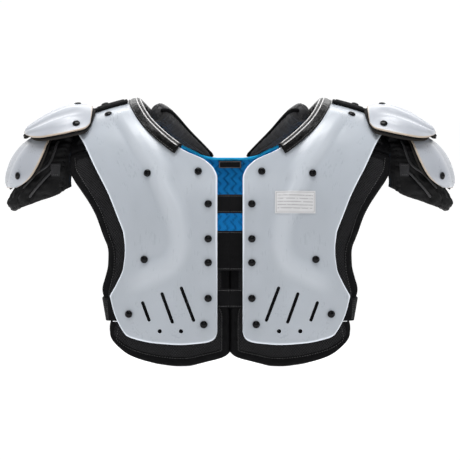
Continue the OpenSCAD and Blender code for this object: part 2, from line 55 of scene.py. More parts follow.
# ---------------------------------------------------------------- design numbers
HALF_DEPTH = 125.0      # middle to chest plate on the centre line
ARCH_REACH = 265.0      # distance at which the arch closes to nothing
CREST_H = 339.5         # shoulder crest beside the neck
CREST_FALL = 47.0       # drop of the crest towards the arm
SPRING_H = 170.0        # height where the flat plate starts to curve
ARCH_ROUND = 2.4
TUCK = 10.0             # lean of the bottom edges
LOW_END = 90 + SPRING_H

SHELL_T = 3.2
CAP_T = 2.6
LINER_T = 2.2
PAD_GAP = 8.0
PAD_T = 9.5
PAD_TOP_Q = 46.0        # where body pads meet the shoulder pad
ARM_PAD_T = 9.0
RIDGE_H = 3.2
RIDGE_W = 18.0
PLATE_GAP = 16.0

NECK_FRONT = [[0, 16], [.40, 16], [.46, 19.5], [.525, 30], [.61, 60], [.735, 87], [.85, 104.5],
              [.95, 114], [1, 117.5]]
NECK_BACK = [[0, 16], [.42, 16], [.47, 22], [.56, 40], [.67, 62], [.78, 84], [.89, 102],
             [.96, 112], [1, 117.5]]
SHELL_OUT = [[0, 135], [.159, 145], [.291, 153], [.416, 162], [.539, 171], [.817, 188.6], [1, 204]]
SHELL_WAIST = [[89, 152], [105, 143], [124, 135], [148, 132.7], [170, 135]]
SHELL_LOW = [[0, 44], [.012, 38], [.037, 33.5], [.096, 30.3], [.206, 28.4], [.338, 27.2],
             [.58, 29.2], [.765, 34.3], [.842, 38.5], [.89, 47], [.956, 66], [1, 89]]
PAD_NECK_FRONT = [[0, 20], [.46, 24], [.525, 38], [.61, 66], [.735, 90], [.85, 106], [1, 118]]
PAD_NECK_BACK = [[0, .5], [.44, .5], [.49, 20], [.57, 42], [.68, 63], [.79, 85], [.9, 103], [1, 118]]
PAD_OUT = [[0, 166], [.128, 173], [.222, 180], [.369, 193], [.489, 203], [.585, 208], [.71, 208],
           [.8, 208], [.87, 205], [.93, 201], [1, 198]]
PAD_WAIST = [[36, 154.5], [46, 155.5], [54, 154], [60, 152.5], [83.5, 152.5], [86.5, 163], [96, 165],
             [110, 161.5], [127, 157.5], [142, 157], [150, 158], [160, 162], [170, 166]]
PAD_INNER = [[0, 0], [70, 0], [84, 6], [96, 20], [170, 20]]
PAD_INNER_BACK = [[0, 0], [170, 0]]
PAD_LOW = [[0, 18], [.03, 13.5], [.08, 10], [.17, 6.4], [.25, 3.4], [.34, .4], [.42, 0], [.58, 2.5],
           [.67, 5.4], [.755, 9], [.85, 15], [.92, 22.9], [.97, 31], [1, 40]]
RIDGE_LINE = [[133, 318], [91, 250], [86, 232], [74, 205], [66, 182], [63.5, 158], [67, 142],
              [77, 128], [102, 115], [130, 105]]
# rivets of a plate: distance from the centre, height, 1 where a strap lies under it
RIVETS = [[40, 246, 0], [104, 243.5, 0], [27.5, 205, 1], [27.5, 161, 1], [27.5, 131, 1],
          [27.5, 86, 1], [33, 53, 0], [108, 135, 0], [127.5, 66, 1], [154, 318, 0]]
SLOTS = [[110, 80.3, 102, 58.6], [85.5, 91.6, 72.7, 56.1], [61.2, 98.9, 45.9, 58.4]]
SLOT_W = 4.2
HOLES = [[61.7, 44.5], [88.5, 44.5]]
HOLE_D = 5.6

EPA_TOP = [[174, 329], [186, 331], [200, 329.5], [214, 325], [228, 318.5], [242, 310], [254, 301.5],
           [262, 295.5]]
EPA_EDGE = [[174, 311], [182, 301.5], [198, 297], [212, 294], [226, 291.5], [240, 289.5], [252, 290],
            [259, 292]]
EPA_HALF = [56, 69, 72, 73, 71, 65, 52, 30]
CUP_TOP = [[233, 299], [246, 292], [259, 282.5], [270, 271], [278, 258], [283, 243], [284, 232],
           [283, 224]]
CUP_EDGE = [[226, 291], [231, 283], [235, 273], [240, 261], [246, 249], [253, 238], [261, 230],
            [270, 224.5]]
CUP_HALF = [46, 58, 66, 70, 70, 65, 52, 30]
EPA_RIVETS = [[.24, -.88], [.22, 0], [.24, .88]]
CUP_RIVETS = [[.72, -.74], [.72, .74]]
ARM_PAD = [[208.5, 297, 286, 43], [224, 289, 281, 48], [241.5, 279, 276, 54], [257, 267, 271.5, 57.5],
           [264.5, 251, 266, 58], [266, 234.5, 258.5, 56], [276, 213, 250, 54.5], [279, 198, 242, 50]]
ARM_IN = (192.0, 180.0)
ARM_TAPER = 0.1
ARM_SIZE = (118, 205)
ARM_TAB_SIZE = (16, 12)
CUP_WEB = [[174, 320.1], [188, 318.2], [202, 315], [213, 311.5], [224, 307.6], [234, 302.2],
           [242, 297.4]]
CUSHION = [[95, 13.5, -13.5, 1.05], [88.5, 19.5, -14, 1.15], [78.5, 30, -15, 1.1], [67, 39.5, -16, 1],
           [55, 46.8, -15, .84], [42.5, 52.6, -14, .66], [32, 57, -12.5, .48], [24, 59.4, -11.5, .3]]
CUSHION_R = 11.5
FOLD_IN = [[11, .9], [5, .9], [0, .9], [-1.8, -.3], [-2.4, -1.7], [-1.8, -3.1], [0, -4.2], [5, -4.2],
           [9, -4.2]]
FOLD_OUT = [[11, 2.6], [5, 3.6], [0, 3.6], [-4.2, 1.6], [-5.6, -1.7], [-4.2, -5], [0, -7], [5, -7],
            [9, -6]]
BIND_Q = (-55.4, 52.0)
LINER_TOP = [[0, 57.9], [14, 57.9], [30, 57], [36, 56], [44, 53.8], [55, 51], [68, 47.5],
             [80, 43], [89, 38], [100, 29], [112, 18], [118, 13]]
STRAP_HALF = 38.0       # half length of a strap across the centre line
WEB_T = 2.0
WEB_DEPTH = -4.2        # under side of the plates, where webbing and bridge lie

BODY_OF = {n: b for b, members in frame["record"]["behaviour"]["bodies"].items() for n in members}


# ---------------------------------------------------------------- curves and surfaces
def ease(t):
    c = np.clip(t, 0, 1)
    return c * c * (3 - 2 * c)


def smooth(table, t):
    """A smooth curve through (position, value) pairs that never overshoots them."""
    xs, ys = np.array(table, float).T
    h = np.diff(xs)
    slope = np.diff(ys) / h
    rate = np.zeros(len(xs))
    rate[0], rate[-1] = slope[0], slope[-1]
    same = slope[:-1] * slope[1:] > 0
    w1, w2 = 2 * h[1:] + h[:-1], h[1:] + 2 * h[:-1]
    with np.errstate(divide="ignore", invalid="ignore"):
        middle = (w1 + w2) / (w1 / slope[:-1] + w2 / slope[1:])
    rate[1:-1] = np.where(same, middle, 0)
    t = np.clip(t, xs[0], xs[-1])
    k = np.clip(np.searchsorted(xs, t) - 1, 0, len(h) - 1)
    s = (t - xs[k]) / h[k]
    a, b = ys[k], ys[k + 1]
    bend = s * (1 - s) * h[k] * (rate[k] * (1 - s) - rate[k + 1] * s)
    return a + (b - a) * s * s * (3 - 2 * s) + bend


def curve(points, u):
    """Catmull-Rom curve through points, u from 0 to 1; it runs straight on past the ends."""
    p = np.array(points, float)
    n = len(p) - 1
    p = np.concatenate([[2 * p[0] - p[1]], p, [2 * p[-1] - p[-2]]])
    u = np.asarray(u, float) * n
    k = np.clip(np.floor(u).astype(int), 0, n - 1)
    t = u - k
    a, b, c, d = p[k], p[k + 1], p[k + 2], p[k + 3]
    if p.ndim > 1:
        t = t[..., None]
    return 0.5 * (2 * b + (c - a) * t + (2 * a - 5 * b + 4 * c - d) * t ** 2
                  + (3 * b - a - 3 * c + d) * t ** 3)


def unit(v):
    return v / np.maximum(np.linalg.norm(v, axis=-1, keepdims=True), 1e-9)


def depth_at(x):
    return HALF_DEPTH * np.sqrt(1 - (np.abs(x) / ARCH_REACH) ** 2.6)


def crest_at(x):
    return CREST_H + 1 - CREST_FALL * (np.maximum(0, np.abs(x) - 60) / 170) ** 2


def arch_mid(x, q):
    """The arch surface: x sideways, q from the front bottom over the crest (0) to the back."""
    x, q = np.broadcast_arrays(np.asarray(x, float), np.asarray(q, float))
    a = np.radians(np.minimum(np.abs(q), 90))
    low = np.maximum(0, np.abs(q) - 90)
    power = 2 / ARCH_ROUND
    y = np.sign(q) * (depth_at(x) * np.sin(a) ** power - TUCK * (low / SPRING_H) ** 2)
    z = SPRING_H - low + (crest_at(x) - SPRING_H) * np.maximum(np.cos(a), 0) ** power
    return np.stack([x, y, z], -1)


def arch_normal(x, q):
    across = arch_mid(x + 0.5, q) - arch_mid(x - 0.5, q)
    along = arch_mid(x, q + 0.5) - arch_mid(x, q - 0.5)
    n = unit(np.cross(across, along))
    n[..., 2] = np.where(np.abs(q) > 90, 0, n[..., 2])
    return unit(n)


def arch(x, q, d):
    n = arch_normal(x, q)
    return arch_mid(x, q) + np.asarray(d, float)[..., None] * n


def rise(q):
    """Share of the rise from the spring line to the crest."""
    return np.maximum(np.cos(np.radians(np.minimum(np.abs(q), 90))), 0) ** (2 / ARCH_ROUND)


def q_at(x, z):
    """q of the front surface at a height."""
    share = np.clip((z - SPRING_H) / (crest_at(x) - SPRING_H), 0, 1)
    above = -np.degrees(np.arccos(share ** (ARCH_ROUND / 2)))
    return np.where(np.asarray(z) > SPRING_H, above, -(LOW_END - np.asarray(z, float)))


def run_length(path):
    """Distance along a path at each of its points."""
    return np.concatenate([[0], np.cumsum(np.linalg.norm(np.diff(path, axis=0), axis=1))])


FAR_IN = 5.0            # distance from the edge that is given to cords and threads
LENGTH_Q = np.linspace(-LOW_END, LOW_END, 1041)
LENGTH_S = run_length(arch_mid(90.0, LENGTH_Q))


def along_arch(q):
    """Distance along the arch, so that weaves keep their size over the curve."""
    return np.interp(q, LENGTH_Q, LENGTH_S)


RIDGE_PATH = curve(RIDGE_LINE, np.linspace(0, 1, 90))


def ridge(x, q):
    """Height of the moulded stiffening ridge."""
    m = arch_mid(x, q)
    seen = m[..., [0, 2]]
    d = np.full(seen.shape[:-1], 1e9)
    for a, b in zip(RIDGE_PATH[:-1], RIDGE_PATH[1:]):
        t = np.clip(((seen - a) @ (b - a)) / ((b - a) @ (b - a)), 0, 1)
        d = np.minimum(d, np.linalg.norm(seen - a - t[..., None] * (b - a), axis=-1))
    top = ease((np.abs(q) - 12) / 16)
    side = ease((138 - m[..., 0]) / 34 + (m[..., 2] > 125))
    return RIDGE_H * ease(1.25 * (1 - d / RIDGE_W)) * top * side


def arch_cells(cells):
    """A surface for sheet(): cells(u, v) gives the places x and q on the arch."""
    def surface(u, v):
        x, q = cells(u, v)
        return arch_mid(x, q), arch_normal(x, q), np.stack([x, along_arch(q)], -1)
    return surface


def mix(a, b, t):
    return a + (b - a) * t


# ---------------------------------------------------------------- meshes
def placed(name, data):
    """A new object in the scene."""
    obj = bpy.data.objects.new(name, data)
    bpy.context.scene.collection.objects.link(obj)
    return obj


def weld(obj):
    """Joins points in the same place and turns the faces outwards."""
    bm = bmesh.new()
    bm.from_mesh(obj.data)
    bmesh.ops.remove_doubles(bm, verts=bm.verts, dist=2e-6)
    bmesh.ops.recalc_face_normals(bm, faces=bm.faces)
    bm.to_mesh(obj.data)
    bm.free()


def make(name, points, faces, material, fab, tone=None):
    """A mesh piece. fab holds cloth coordinates and the distance from the edge, in mm; the last argument
    holds two masks of painted shading, a painted shadow and a painted highlight.
    """
    mesh = bpy.data.meshes.new(name)
    points = np.asarray(points, float).reshape(-1, 3)
    mesh.from_pydata((points * MM).tolist(), [], [list(map(int, f)) for f in faces])
    layer = mesh.attributes.new("fab", "FLOAT_VECTOR", "POINT")
    layer.data.foreach_set("vector", np.asarray(fab, np.float32).ravel())
    layer = mesh.attributes.new("tone", "FLOAT_VECTOR", "POINT")
    tone = np.zeros((len(points), 3)) if tone is None else tone
    layer.data.foreach_set("vector", np.asarray(tone, np.float32).ravel())
    obj = placed(name, mesh)
    mesh.materials.append(material)
    weld(obj)
    mesh.shade_smooth()
    return obj


def rim_samples(count, length, radius, round_low=True, round_high=True):
    """Places from 0 to 1, close together where the rim is round, and the share of thickness there."""
    near = radius * (1 - np.cos(np.radians([0, 30, 60, 90]))) / length
    low = near if round_low else near[:1]
    high = 1 - (near if round_high else near[:1])
    t = np.concatenate([low[:-1], np.linspace(low[-1], high[-1], count), high[-2::-1]])
    share = np.ones(len(t))
    for wanted, e in ((round_low, t), (round_high, 1 - t)):
        if wanted:
            share *= np.sqrt(1 - (1 - np.clip(e * length / radius, 0, 1)) ** 2)
    return t, share


def edge_distance(p, sides=(1, 1, 1, 1)):
    """Distance from each grid point to the nearest sewn or moulded edge, along the grid."""
    best = np.full(p.shape[:2], 1e3)
    for axis in (0, 1):
        step = np.linalg.norm(np.diff(p, axis=axis), axis=-1)
        total = np.concatenate([np.zeros_like(np.take(step, [0], axis)), np.cumsum(step, axis)], axis)
        if sides[2 * axis]:
            best = np.minimum(best, total)
        if sides[2 * axis + 1]:
            best = np.minimum(best, np.take(total, [-1], axis) - total)
    return best


def slab(name, outer, inner, cloth, edge, material, tone=None):
    """Closed sheet between an outer and an inner grid."""
    rows, cols = outer.shape[:2]
    ids = np.arange(rows * cols).reshape(rows, cols)
    size = rows * cols
    front = np.stack([ids[:-1, :-1], ids[1:, :-1], ids[1:, 1:], ids[:-1, 1:]], -1).reshape(-1, 4)
    loop = np.concatenate([ids[0, :-1], ids[:-1, -1], ids[-1, :0:-1], ids[:0:-1, 0]])
    after = np.roll(loop, -1)
    rim = np.stack([loop, after, after + size, loop + size], -1)
    faces = np.concatenate([front, front[:, ::-1] + size, rim])
    fab = np.concatenate([cloth, edge[..., None]], -1)
    tone = np.zeros((rows, cols, 3)) if tone is None else tone
    return make(name, np.stack([outer, inner]), faces, material, np.stack([fab, fab]),
                np.stack([tone, tone]))


def sheet(name, surface, size, counts, thick, material, depth=0.0, radius=None, rounded=(1, 1, 1, 1),
          relief=None, under=None, tone=None):
    """Sheet of even thickness with round rims. relief and under are added to its two faces."""
    radius = radius or thick / 2
    u, share_u = rim_samples(counts[0], size[0], radius, rounded[0], rounded[1])
    v, share_v = rim_samples(counts[1], size[1], radius, rounded[2], rounded[3])
    grid_u, grid_v = np.meshgrid(u, v, indexing="ij")
    share = share_u[:, None] * share_v[None, :]
    p, n, cloth = surface(grid_u, grid_v)
    edge = edge_distance(p, rounded)
    up = relief(grid_u, grid_v, cloth, edge) if relief else 0
    down = under(grid_u, grid_v, cloth, edge) if under else 0
    outer = p + n * (depth - thick / 2 * (1 - share) + up * share ** 0.5)[..., None]
    inner = p + n * (depth - thick / 2 * (1 + share) + down * share ** 0.5)[..., None]
    mask = None
    # masks of painted shadow and painted highlight for the material
    if tone:
        marks = tone(grid_u, grid_v, p)
        mask = np.stack([marks[0], marks[1], np.zeros_like(grid_u)], -1)
    return slab(name, outer, inner, cloth, edge, material, mask)


def path_frames(path, up):
    """Unit tangents, sideways and up vectors along a path."""
    tangent = unit(np.gradient(path, axis=0))
    side = unit(np.cross(tangent, up))
    return tangent, side, np.cross(side, tangent)


def resample(path, up, step):
    """Points an even step apart along a path, with the up vectors there."""
    length = run_length(path)
    count = max(2, int(round(length[-1] / step)))
    at = np.linspace(0, length[-1], count + 1)
    pick = [np.stack([np.interp(at, length, a[:, k]) for k in range(3)], -1) for a in (path, up)]
    return pick[0], unit(pick[1])


def circle(count):
    """Even angles round a circle."""
    return np.linspace(0, 2 * math.pi, count, endpoint=False)


def rings(side, lift, angle, flat=1.0):
    """Unit rings in the planes of side and lift, one for each point of a path."""
    across, up = np.cos(angle)[None, :, None], np.sin(angle)[None, :, None]
    return across * side[:, None] + flat * up * lift[:, None]


def ring_faces(rows, around):
    """Faces of a closed skin over rows of points that each go once around."""
    ids = np.arange(rows * around).reshape(rows, around)
    after = np.roll(ids, -1, axis=1)
    walls = np.stack([ids[:-1], after[:-1], after[1:], ids[1:]], -1).reshape(-1, 4)
    return walls.tolist() + [ids[0][::-1].tolist(), ids[-1].tolist()]


def copies(name, faces, parts, material):
    """One mesh of many equal parts, each given by its points and their fab values."""
    count = len(parts[0][0])
    joined = [[i + k * count for i in f] for k in range(len(parts)) for f in faces]
    points, fab = (np.concatenate(a) for a in zip(*parts))
    return make(name, points, joined, material, fab)


def tube(name, path, radius, material, up, flat=1.0, segments=10):
    """Cord, piping or welt along a path; flat squeezes it towards the surface it lies on."""
    path = np.asarray(path, float)
    _, side, lift = path_frames(path, up)
    size = np.full(len(path), radius)
    size[0] = size[-1] = radius * 0.35
    angle = circle(segments)
    points = path[:, None] + size[:, None, None] * rings(side, lift, angle, flat)
    fab = np.stack(np.broadcast_arrays(run_length(path)[:, None], angle * radius, FAR_IN), -1)
    return make(name, points, ring_faces(len(path), segments), material, fab)


def stitches(name, rows, material, pitch=3.2, length=2.1, width=0.42):
    """Sewn thread: small rounded lozenges along each (path, up) row."""
    profile = [(-.5, .35), (-.38, .9), (0, 1), (.38, .9), (.5, .35)]
    around = 6
    shape = np.array([[a * length, r * width * math.cos(t), r * width * .8 * math.sin(t)]
                      for a, r in profile for t in circle(around)])
    parts = []
    for path, up in rows:
        p, lift = resample(np.asarray(path, float), np.asarray(up, float), pitch)
        tangent, side, lift = path_frames(p, lift)
        for k, middle in enumerate((p[1:] + p[:-1]) / 2):
            fab = np.column_stack([shape[:, :2] + k * 1.7, np.full(len(shape), FAR_IN)])
            parts.append((middle + shape @ np.stack([tangent[k], side[k], lift[k]]), fab))
    return copies(name, ring_faces(len(profile), around), parts, material)


def lathe(name, spots, profile, material, segments=28):
    """Turned pieces, one at each (point, direction), all in one mesh."""
    r, h = np.array(profile, float).T[..., None]
    angle = circle(segments)
    parts = []
    for k, (spot, direction) in enumerate(spots):
        z = unit(np.asarray(direction, float))
        x = unit(np.cross(z, [0.3, 0.2, 1.0]))
        ring = np.cos(angle)[:, None] * x + np.sin(angle)[:, None] * np.cross(z, x)
        p = spot + r[..., None] * ring + h[..., None] * z
        fab = np.stack(np.broadcast_arrays(r * np.cos(angle) + 17.0 * k, r * np.sin(angle), h), -1)
        parts.append((p.reshape(-1, 3), fab.reshape(-1, 3)))
    return copies(name, ring_faces(len(profile), segments), parts, material)


def mirrored(obj, name):
    """The same piece on the wearer's right side."""
    mesh = obj.data.copy()
    mesh.name = name
    mesh.transform(Matrix.Diagonal((-1, 1, 1, 1)))
    mesh.flip_normals()
    return placed(name, mesh)


def folds(cloth, seed, wavelength, stretch=(1, 1)):
    """Even, repeatable creases in about -1 to 1: sine waves in random directions, bent by each other."""
    rng = np.random.default_rng(seed)
    u, v = cloth[..., 0] * stretch[0], cloth[..., 1] * stretch[1]
    total = np.zeros_like(u)
    for k in range(7):
        a = rng.uniform(0, 2 * math.pi)
        f = 2 * math.pi / (wavelength * rng.uniform(0.6, 1.7))
        warp = 0.35 * wavelength * np.sin(f * 0.6 * (v * math.cos(a) - u * math.sin(a)) + rng.uniform(0, 6))
        total += np.sin(f * (u * math.cos(a) + v * math.sin(a) + warp) + rng.uniform(0, 6))
    return total / 3.5


# ---------------------------------------------------------------- cloth
CLOTH_FRAMES = 20


def points_of(mesh):
    co = np.zeros(len(mesh.vertices) * 3, np.float32)
    mesh.vertices.foreach_get("co", co)
    return co.reshape(-1, 3).astype(float)


def puff(piece, pinned, room, pressure=4.0, slack=0.03, bending=0.4):
    """Swells a closed form as stuffed cloth. pinned points are its seams; room is how far a point may go."""
    scene = bpy.context.scene
    mesh = piece.data
    rest = points_of(mesh)
    group = piece.vertex_groups.new(name="seams")
    group.add(np.nonzero(pinned(piece))[0].tolist(), 1.0, "REPLACE")
    cloth = piece.modifiers.new("cloth", "CLOTH")
    settings = cloth.settings
    settings.quality = 6
    settings.mass = 0.25
    settings.tension_stiffness = settings.compression_stiffness = 14
    settings.shear_stiffness = 6
    settings.bending_stiffness = bending
    settings.vertex_group_mass = "seams"
    settings.use_pressure = True
    settings.uniform_pressure_force = pressure
    settings.shrink_min = -slack
    settings.effector_weights.gravity = 0
    cloth.collision_settings.use_self_collision = False
    cloth.point_cache.frame_start = 1
    cloth.point_cache.frame_end = CLOTH_FRAMES
    for f in range(1, CLOTH_FRAMES + 1):
        scene.frame_set(f)
    swollen = piece.evaluated_get(bpy.context.evaluated_depsgraph_get())
    moved = points_of(swollen.data)
    piece.modifiers.remove(cloth)
    piece.vertex_groups.clear()
    scene.frame_set(1)
    step = np.nan_to_num(moved - rest)
    far = np.linalg.norm(step, axis=1, keepdims=True)
    limit = (np.asarray(room(piece), float) * MM).reshape(-1, 1)
    soft = limit * np.tanh(far / np.maximum(limit, 1e-9))
    mesh.vertices.foreach_set("co", (rest + step * soft / np.maximum(far, 1e-9)).astype(np.float32).ravel())
    mesh.update()
    print(f"cloth {piece.name}: moved up to {far.max() / MM:.1f} mm")


def fab_of(piece):
    """Cloth coordinates and distance from the edge at each point of a piece."""
    fab = np.zeros(len(piece.data.vertices) * 3, np.float32)
    piece.data.attributes["fab"].data.foreach_get("vector", fab)
    return fab.reshape(-1, 3)


def edge_of(piece):
    return fab_of(piece)[:, 2]


def places(piece):
    """The points of a piece in millimetres."""
    return points_of(piece.data) / MM


# ---------------------------------------------------------------- materials
def grey(level, blue=None):
    """A grey, often a little bluer than neutral."""
    return level, level, level if blue is None else blue


class Shade:
    """A procedural material that ends in one Principled shader."""

    def __init__(self, name, **fixed):
        self.material = bpy.data.materials.new(name)
        self.material.use_nodes = True
        self.tree = self.material.node_tree
        self.shader = self.tree.nodes["Principled BSDF"]
        for key, value in fixed.items():
            self.shader.inputs[key.replace("_", " ")].default_value = value
        self.fab = self.add("Attribute", attribute_name="fab").outputs["Vector"]
        split = self.add("SeparateXYZ", self.fab)
        self.u, self.v, self.edge = split.outputs
        # painted shading masks: the first is a painted shadow (round rivets, along quilting), the second is
        # where a painted highlight goes on raised moulding
        marks = self.add("Attribute", attribute_name="tone").outputs["Vector"]
        self.tone, self.raised, _ = self.add("SeparateXYZ", marks).outputs

    def add(self, kind, *inputs, **settings):
        node = self.tree.nodes.new("ShaderNode" + kind)
        for key, value in settings.items():
            setattr(node, key, value)
        for socket, value in zip(node.inputs, inputs):
            self.feed(socket, value)
        return node

    def feed(self, socket, value):
        if isinstance(value, bpy.types.NodeSocket):
            self.tree.links.new(value, socket)
        elif value is not None:
            socket.default_value = value

    def math(self, operation, a, b=0.0, c=0.0):
        return self.add("Math", a, b, c, operation=operation).outputs[0]

    def noise(self, size, detail=2.0, vector=None, rough=0.5):
        """Noise whose features are about size mm across, around 0.5."""
        node = self.add("TexNoise")
        self.feed(node.inputs["Vector"], vector or self.fab)
        node.inputs["Scale"].default_value = 1.0 / size
        node.inputs["Detail"].default_value = detail
        node.inputs["Roughness"].default_value = rough
        return node.outputs["Fac"]

    def span(self, value, low, high, to_low=0.0, to_high=1.0):
        """Smooth step from to_low at low to to_high at high."""
        node = self.add("MapRange", value, low, high, to_low, to_high, interpolation_type="SMOOTHSTEP")
        return node.outputs[0]

    def rib(self, value, period, phase=0.0):
        """Round ribs across value, 0 to 1, period mm apart."""
        turn = self.math("MULTIPLY_ADD", value, 2 * math.pi / period, phase)
        return self.math("MULTIPLY_ADD", self.math("SINE", turn), 0.5, 0.5)

    def cells(self, u, v, width, height):
        """Distance from the nearest point of two offset rectangular rows of points."""
        found = []
        for shift in (0.0, 0.5):
            a = self.math("WRAP", self.math("ADD", u, shift * width), width / 2, -width / 2)
            b = self.math("WRAP", self.math("ADD", v, shift * height), height / 2, -height / 2)
            a = self.math("MULTIPLY", a, a)
            b = self.math("MULTIPLY", b, b)
            found.append(self.math("SQRT", self.math("ADD", a, b)))
        return self.math("MINIMUM", *found)

    def stretched(self, u, v):
        """Cloth coordinates scaled by u and v, for drawn-out noise."""
        return self.add("Mapping", self.fab, None, None, (u, v, 1)).outputs[0]

    def weave(self, period):
        return self.math("MULTIPLY", self.rib(self.u, period), self.rib(self.v, period))

    def mix(self, share, a, b, amount=1.0):
        """Blend from a to b by share, or by amount times share."""
        if amount != 1.0:
            share = self.math("MULTIPLY", share, amount)
        node = self.add("Mix", data_type="RGBA")
        self.feed(node.inputs["Factor"], share)
        self.feed(node.inputs[6], a if isinstance(a, bpy.types.NodeSocket) else (*a, 1))
        self.feed(node.inputs[7], b if isinstance(b, bpy.types.NodeSocket) else (*b, 1))
        return node.outputs[2]

    def bump(self, height, millimetres, strength=1.0, under=None):
        node = self.add("Bump")
        node.inputs["Strength"].default_value = strength
        node.inputs["Distance"].default_value = millimetres * MM
        self.feed(node.inputs["Height"], height)
        if under is not None:
            self.feed(node.inputs["Normal"], under)
        return node.outputs["Normal"]

    def end(self, colour=None, rough=None, normal=None):
        for key, value in (("Base Color", colour), ("Roughness", rough), ("Normal", normal)):
            if value is not None:
                self.feed(self.shader.inputs[key], value)
        return self.material


def milky_plastic(name, body, highlight_and_scuff, rim):
    """Translucent white moulding: painted shadow round the rivets, painted highlight where it is raised, and
    the rim colour at its rim, a painted highlight on the shell and anchor plastic.
    """
    s = Shade(name, IOR=1.5, Coat_Weight=0.1, Coat_Roughness=0.3, Subsurface_Weight=0.1,
              Subsurface_Scale=0.006)
    s.shader.inputs["Subsurface Radius"].default_value = (1.0, 1.0, 1.1)
    colour = s.mix(s.span(s.noise(60, 2), 0.3, 0.7), body, tuple(0.94 * c for c in body))
    # painted highlight on raised ridges and ribs
    colour = s.mix(s.raised, colour, highlight_and_scuff)
    # rim colour along the edge; on the shell and anchor plastic it is a painted highlight
    colour = s.mix(s.span(s.edge, 0.5, 3.2, 0.9, 0.0), colour, rim)
    # painted shadow round each rivet
    colour = s.mix(s.tone, colour, (0.12, 0.15, 0.2), 0.24)
    scuff = s.noise(2.2, 4, s.stretched(1, 0.14))
    # real scuffs, lightened towards the same colour as the painted highlight
    colour = s.mix(s.span(scuff, 0.6, 0.8, 0, 0.05), colour, highlight_and_scuff)
    rough = s.math("ADD", s.span(scuff, 0.3, 0.8, 0.28, 0.42), s.span(s.noise(24, 2), 0.3, 0.7, -0.04, 0.05))
    normal = s.bump(s.noise(9, 2), 0.2, 0.4)
    normal = s.bump(s.noise(0.7, 2), 0.015, 0.4, normal)
    return s.end(colour, rough, normal)


def cap_plastic():
    # colours: body, a painted highlight on the ribs, and a tan rim
    return milky_plastic("cap plastic", (0.36, 0.38, 0.42), (0.46, 0.48, 0.52), (0.42, 0.34, 0.26))


def shell_plastic():
    # colours: body, a painted highlight on the ridge, and a painted highlight along the rim
    return milky_plastic("shell plastic", (0.37, 0.40, 0.44), (0.43, 0.46, 0.50), (0.76, 0.81, 0.88))


def black_moulding(name="rivet plastic"):
    """Black moulded plastic with a satin skin, fine scratches and a little dust."""
    s = Shade(name, Specular_IOR_Level=0.14)
    speck = s.noise(0.8, 3)
    colour = s.mix(s.span(speck, 0.5, 0.8), grey(0.002, 0.0025), grey(0.010, 0.011))
    rough = s.span(s.noise(2.5, 3), 0.3, 0.7, 0.08, 0.2)
    return s.end(colour, rough, s.bump(s.noise(0.5, 3), 0.02, 0.6))


def washer_steel():
    """Plain steel with turning marks and light tarnish."""
    s = Shade("washer steel", Metallic=1.0)
    place = s.add("TexCoord").outputs["Object"]
    grain = s.noise(0.0006, 3, place)
    colour = s.mix(s.span(s.noise(0.006, 3, place), 0.4, 0.7), (0.46, 0.47, 0.49), (0.30, 0.29, 0.28))
    return s.end(colour, s.span(grain, 0.3, 0.7, 0.24, 0.42), s.bump(grain, 0.03, 0.5))


def mesh_fabric():
    """Black air mesh in staggered cells, with a smooth sewn-on nylon edge."""
    s = Shade("pad mesh", Specular_IOR_Level=0.05)
    hole = s.span(s.cells(s.u, s.v, 3.4, 4.0), 0.6, 1.3, 1.0, 0.0)
    strand = s.rib(s.math("ADD", s.u, s.v), 0.62)
    net = s.mix(hole, grey(0.016, 0.017), grey(0.0005, 0.0006))
    net = s.mix(strand, net, grey(0.05, 0.053), 0.35)
    weave = s.weave(0.55)
    nylon = s.mix(s.noise(14, 3), grey(0.0015, 0.002), grey(0.005, 0.0055))
    nylon = s.mix(weave, nylon, grey(0.016, 0.017), 0.3)
    border = s.span(s.edge, 11.2, 12.0, 1.0, 0.0)
    colour = s.mix(border, net, nylon)
    rough = s.span(border, 0, 1, 0.78, 0.5)
    relief = s.math("MULTIPLY", s.math("SUBTRACT", 1.0, hole), s.math("SUBTRACT", 1.0, border))
    normal = s.bump(relief, 0.75, 0.9)
    normal = s.bump(s.math("MULTIPLY", weave, border), 0.12, 0.8, normal)
    normal = s.bump(s.noise(5, 3), 0.5, 0.5, normal)
    return s.end(colour, rough, normal)


def blue_mesh():
    """Blue spacer mesh: small diamonds, quilting shadow and a light bound edge."""
    s = Shade("liner mesh", Specular_IOR_Level=0.08)
    cell = s.cells(s.u, s.v, 2.5, 3.0)
    hole = s.span(cell, 0.3, 1.0, 0.85, 0.0)
    base = s.mix(s.noise(18, 2), (0.001, 0.20, 0.62), (0.003, 0.28, 0.76))
    net = s.mix(hole, base, (0.001, 0.09, 0.34))
    shine = s.math("MULTIPLY", s.rib(s.math("SUBTRACT", s.u, s.v), 0.7), 0.22)
    net = s.mix(shine, net, (0.05, 0.46, 0.9))
    # painted shade along the quilting lines
    net = s.mix(s.tone, net, (0.001, 0.03, 0.12), 0.7)
    bound = s.span(s.edge, 3.2, 3.9, 1.0, 0.0)
    tape = s.mix(s.rib(s.u, 0.9), (0.01, 0.36, 0.75), (0.03, 0.5, 0.92))
    colour = s.mix(bound, net, tape)
    normal = s.bump(s.math("SUBTRACT", 1.0, hole), 0.6, 0.9)
    normal = s.bump(s.noise(6, 2), 0.4, 0.5, normal)
    return s.end(colour, 0.6, normal)


